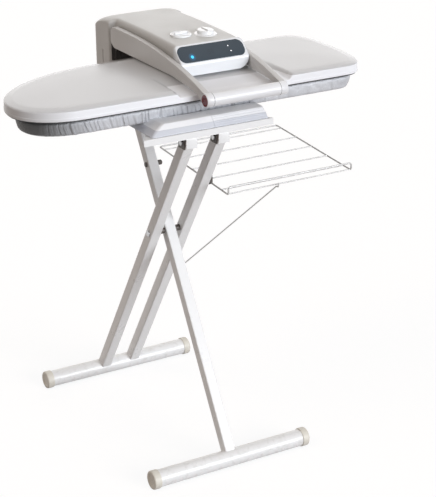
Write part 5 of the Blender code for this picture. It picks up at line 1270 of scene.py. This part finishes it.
@dataclass
class Studio:
    """Camera, floor and plain soft light."""

    focal: float = 113.79
    azimuth: float = -0.5154212
    elevation: float = 0.3813354
    roll: float = -0.0098623
    place: tuple[float, float, float] = (-2.007603, -3.781626, 2.256194)
    sky: Colour = (1.0, 0.90, 0.83)
    sky_strength: float = 0.27
    floor_half: float = 30.0
    floor_base: Colour = (0.24, 0.19, 0.165)
    floor_glow: Colour = (0.835, 0.865, 0.880)

    def camera(self) -> None:
        """Camera at the photographed angle: its axes come from azimuth, elevation and a small roll."""
        a, e = self.azimuth, self.elevation
        back = np.array([math.sin(a) * math.cos(e), -math.cos(a) * math.cos(e), math.sin(e)])
        right = np.array([math.cos(a), math.sin(a), 0.0])
        up = np.cross(back, right)
        c, s = math.cos(self.roll), math.sin(self.roll)
        matrix = np.eye(4)
        matrix[:3, :3] = joined(c * right + s * up, -s * right + c * up, back)
        matrix[:3, 3] = np.array(self.place) + SHIFT
        lens = bpy.data.cameras.new("camera")
        lens.lens = self.focal
        lens.sensor_width = 36.0
        lens.clip_end = 60.0
        camera = put("camera", lens)
        camera.matrix_world = Matrix(matrix.tolist())
        bpy.context.scene.camera = camera

    def lamp(self, name: str, towards: tuple[float, float, float], spread: float, share: float,
             colour: Colour = (1.0, 1.0, 1.0)) -> None:
        """Wide even lamp.

        Args:
            name: the lamp's name.
            towards: direction from the press to the lamp.
            spread: angle in degrees that the lamp fills.
            share: brightness that it alone gives a white face turned to it.
            colour: its tint.
        """
        light = bpy.data.lights.new(name, "SUN")
        light.angle = math.radians(spread)
        light.energy = share * math.pi
        light.color = colour
        thing = put(name, light)
        thing.location = Vector(towards) * 4
        thing.rotation_euler = Vector(towards).to_track_quat("Z", "Y").to_euler()

    @staticmethod
    def seen(g: Graph) -> Socket:
        """1 for rays from the camera, from gloss and through clear plastic, and 0 for all others."""
        path = g.add("LightPath").outputs
        glossy = g.math("MAXIMUM", path["Is Camera Ray"], path["Is Glossy Ray"])
        return g.math("MAXIMUM", glossy, path["Is Transmission Ray"])

    def floor(self) -> None:
        """Plain pale floor that keeps the press's shadow and is white where the camera sees it lit."""
        mesh = bpy.data.meshes.new("floor")
        far = self.floor_half
        mesh.from_pydata([(-far, -far, 0), (far, -far, 0), (far, far, 0), (-far, far, 0)], [], [(0, 1, 2, 3)])
        thing = put("floor", mesh)
        material = bpy.data.materials.new("floor_white")
        material.use_nodes = True
        tree = material.node_tree
        shader = tree.nodes["Principled BSDF"]
        shader.inputs["Base Color"].default_value = (*self.floor_base, 1)
        shader.inputs["Roughness"].default_value = 0.9
        shader.inputs["Specular IOR Level"].default_value = 0.0
        shader.inputs["Emission Color"].default_value = (*self.floor_glow, 1)
        tree.links.new(self.seen(Graph(tree)), shader.inputs["Emission Strength"])
        mesh.materials.append(material)

    def world(self) -> None:
        """White surroundings for the camera and for reflections; softer and warmer for the light on the press."""
        world = bpy.data.worlds.new("studio")
        bpy.context.scene.world = world
        world.use_nodes = True
        g = Graph(world.node_tree)
        seen = self.seen(g)
        back = world.node_tree.nodes["Background"].inputs
        g.feed(back["Color"], g.mix(seen, (*self.sky, 1), (1, 1, 1, 1)))
        g.feed(back["Strength"], g.span(seen, 0.0, 1.0, self.sky_strength, 1.0))

    def build(self) -> None:
        """Set the camera, lamps, floor and colour view."""
        self.camera()
        self.lamp("key", (0.30, -0.90, 0.20), 36, 0.94, (0.96, 1.0, 1.05))
        self.lamp("top", (0.0, 0.05, 1.0), 70, 0.04)
        self.lamp("rear", (0.35, 0.90, 0.30), 60, 0.26)
        self.lamp("left", (-1.0, 0.05, 1.0), 40, 0.20, (1.0, 0.91, 0.83))
        self.floor()
        self.world()
        bpy.context.scene.view_settings.view_transform = "Standard"


KEPT = {
    "sole_plate_and_shade": ("heating_plate",),
    "zinc": ("platen_bracket", "platen_pin", "yoke_shaft", "base_beam", "board_tray", "hinge_bracket", "hinge_pin",
             "lift_spring", "handle_screw_left", "handle_screw_right", "leg_bolt_left", "leg_bolt_right",
             "crossing_bolt", "rack_bolt"),
    "bracket_dark": ("lift_arm", "leg_bracket_left", "leg_bracket_right", "rear_bar_cradle", "crossing_spacer_left",
                     "crossing_spacer_right", "stop_knob", "rack_hub"),
    "stand_paint": ("front_bar", "outer_leg_left", "outer_leg_right", "inner_leg", "rear_bar"),
    "body_grey": ("rear_base", "under_cover"),
    "tank_clear": ("water_tank",),
    "card_green": ("control_card",),
    "gland_black": ("cord_gland",),
}


def main() -> None:
    """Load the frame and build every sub-assembly."""
    logging.basicConfig(level=logging.INFO, format="%(message)s")
    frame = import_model()
    skin = Skin()
    Studio().build()
    Platen(skin, Outline()).build()
    Board(skin, Outline(right=0.553)).build()
    for assembly in (Head, Yoke, Pans, Stand):
        assembly(skin).build()
    for finish, nodes in KEPT.items():
        for node in nodes:
            skin.dress(node, finish, frame)


if __name__ == "__main__":
    main()
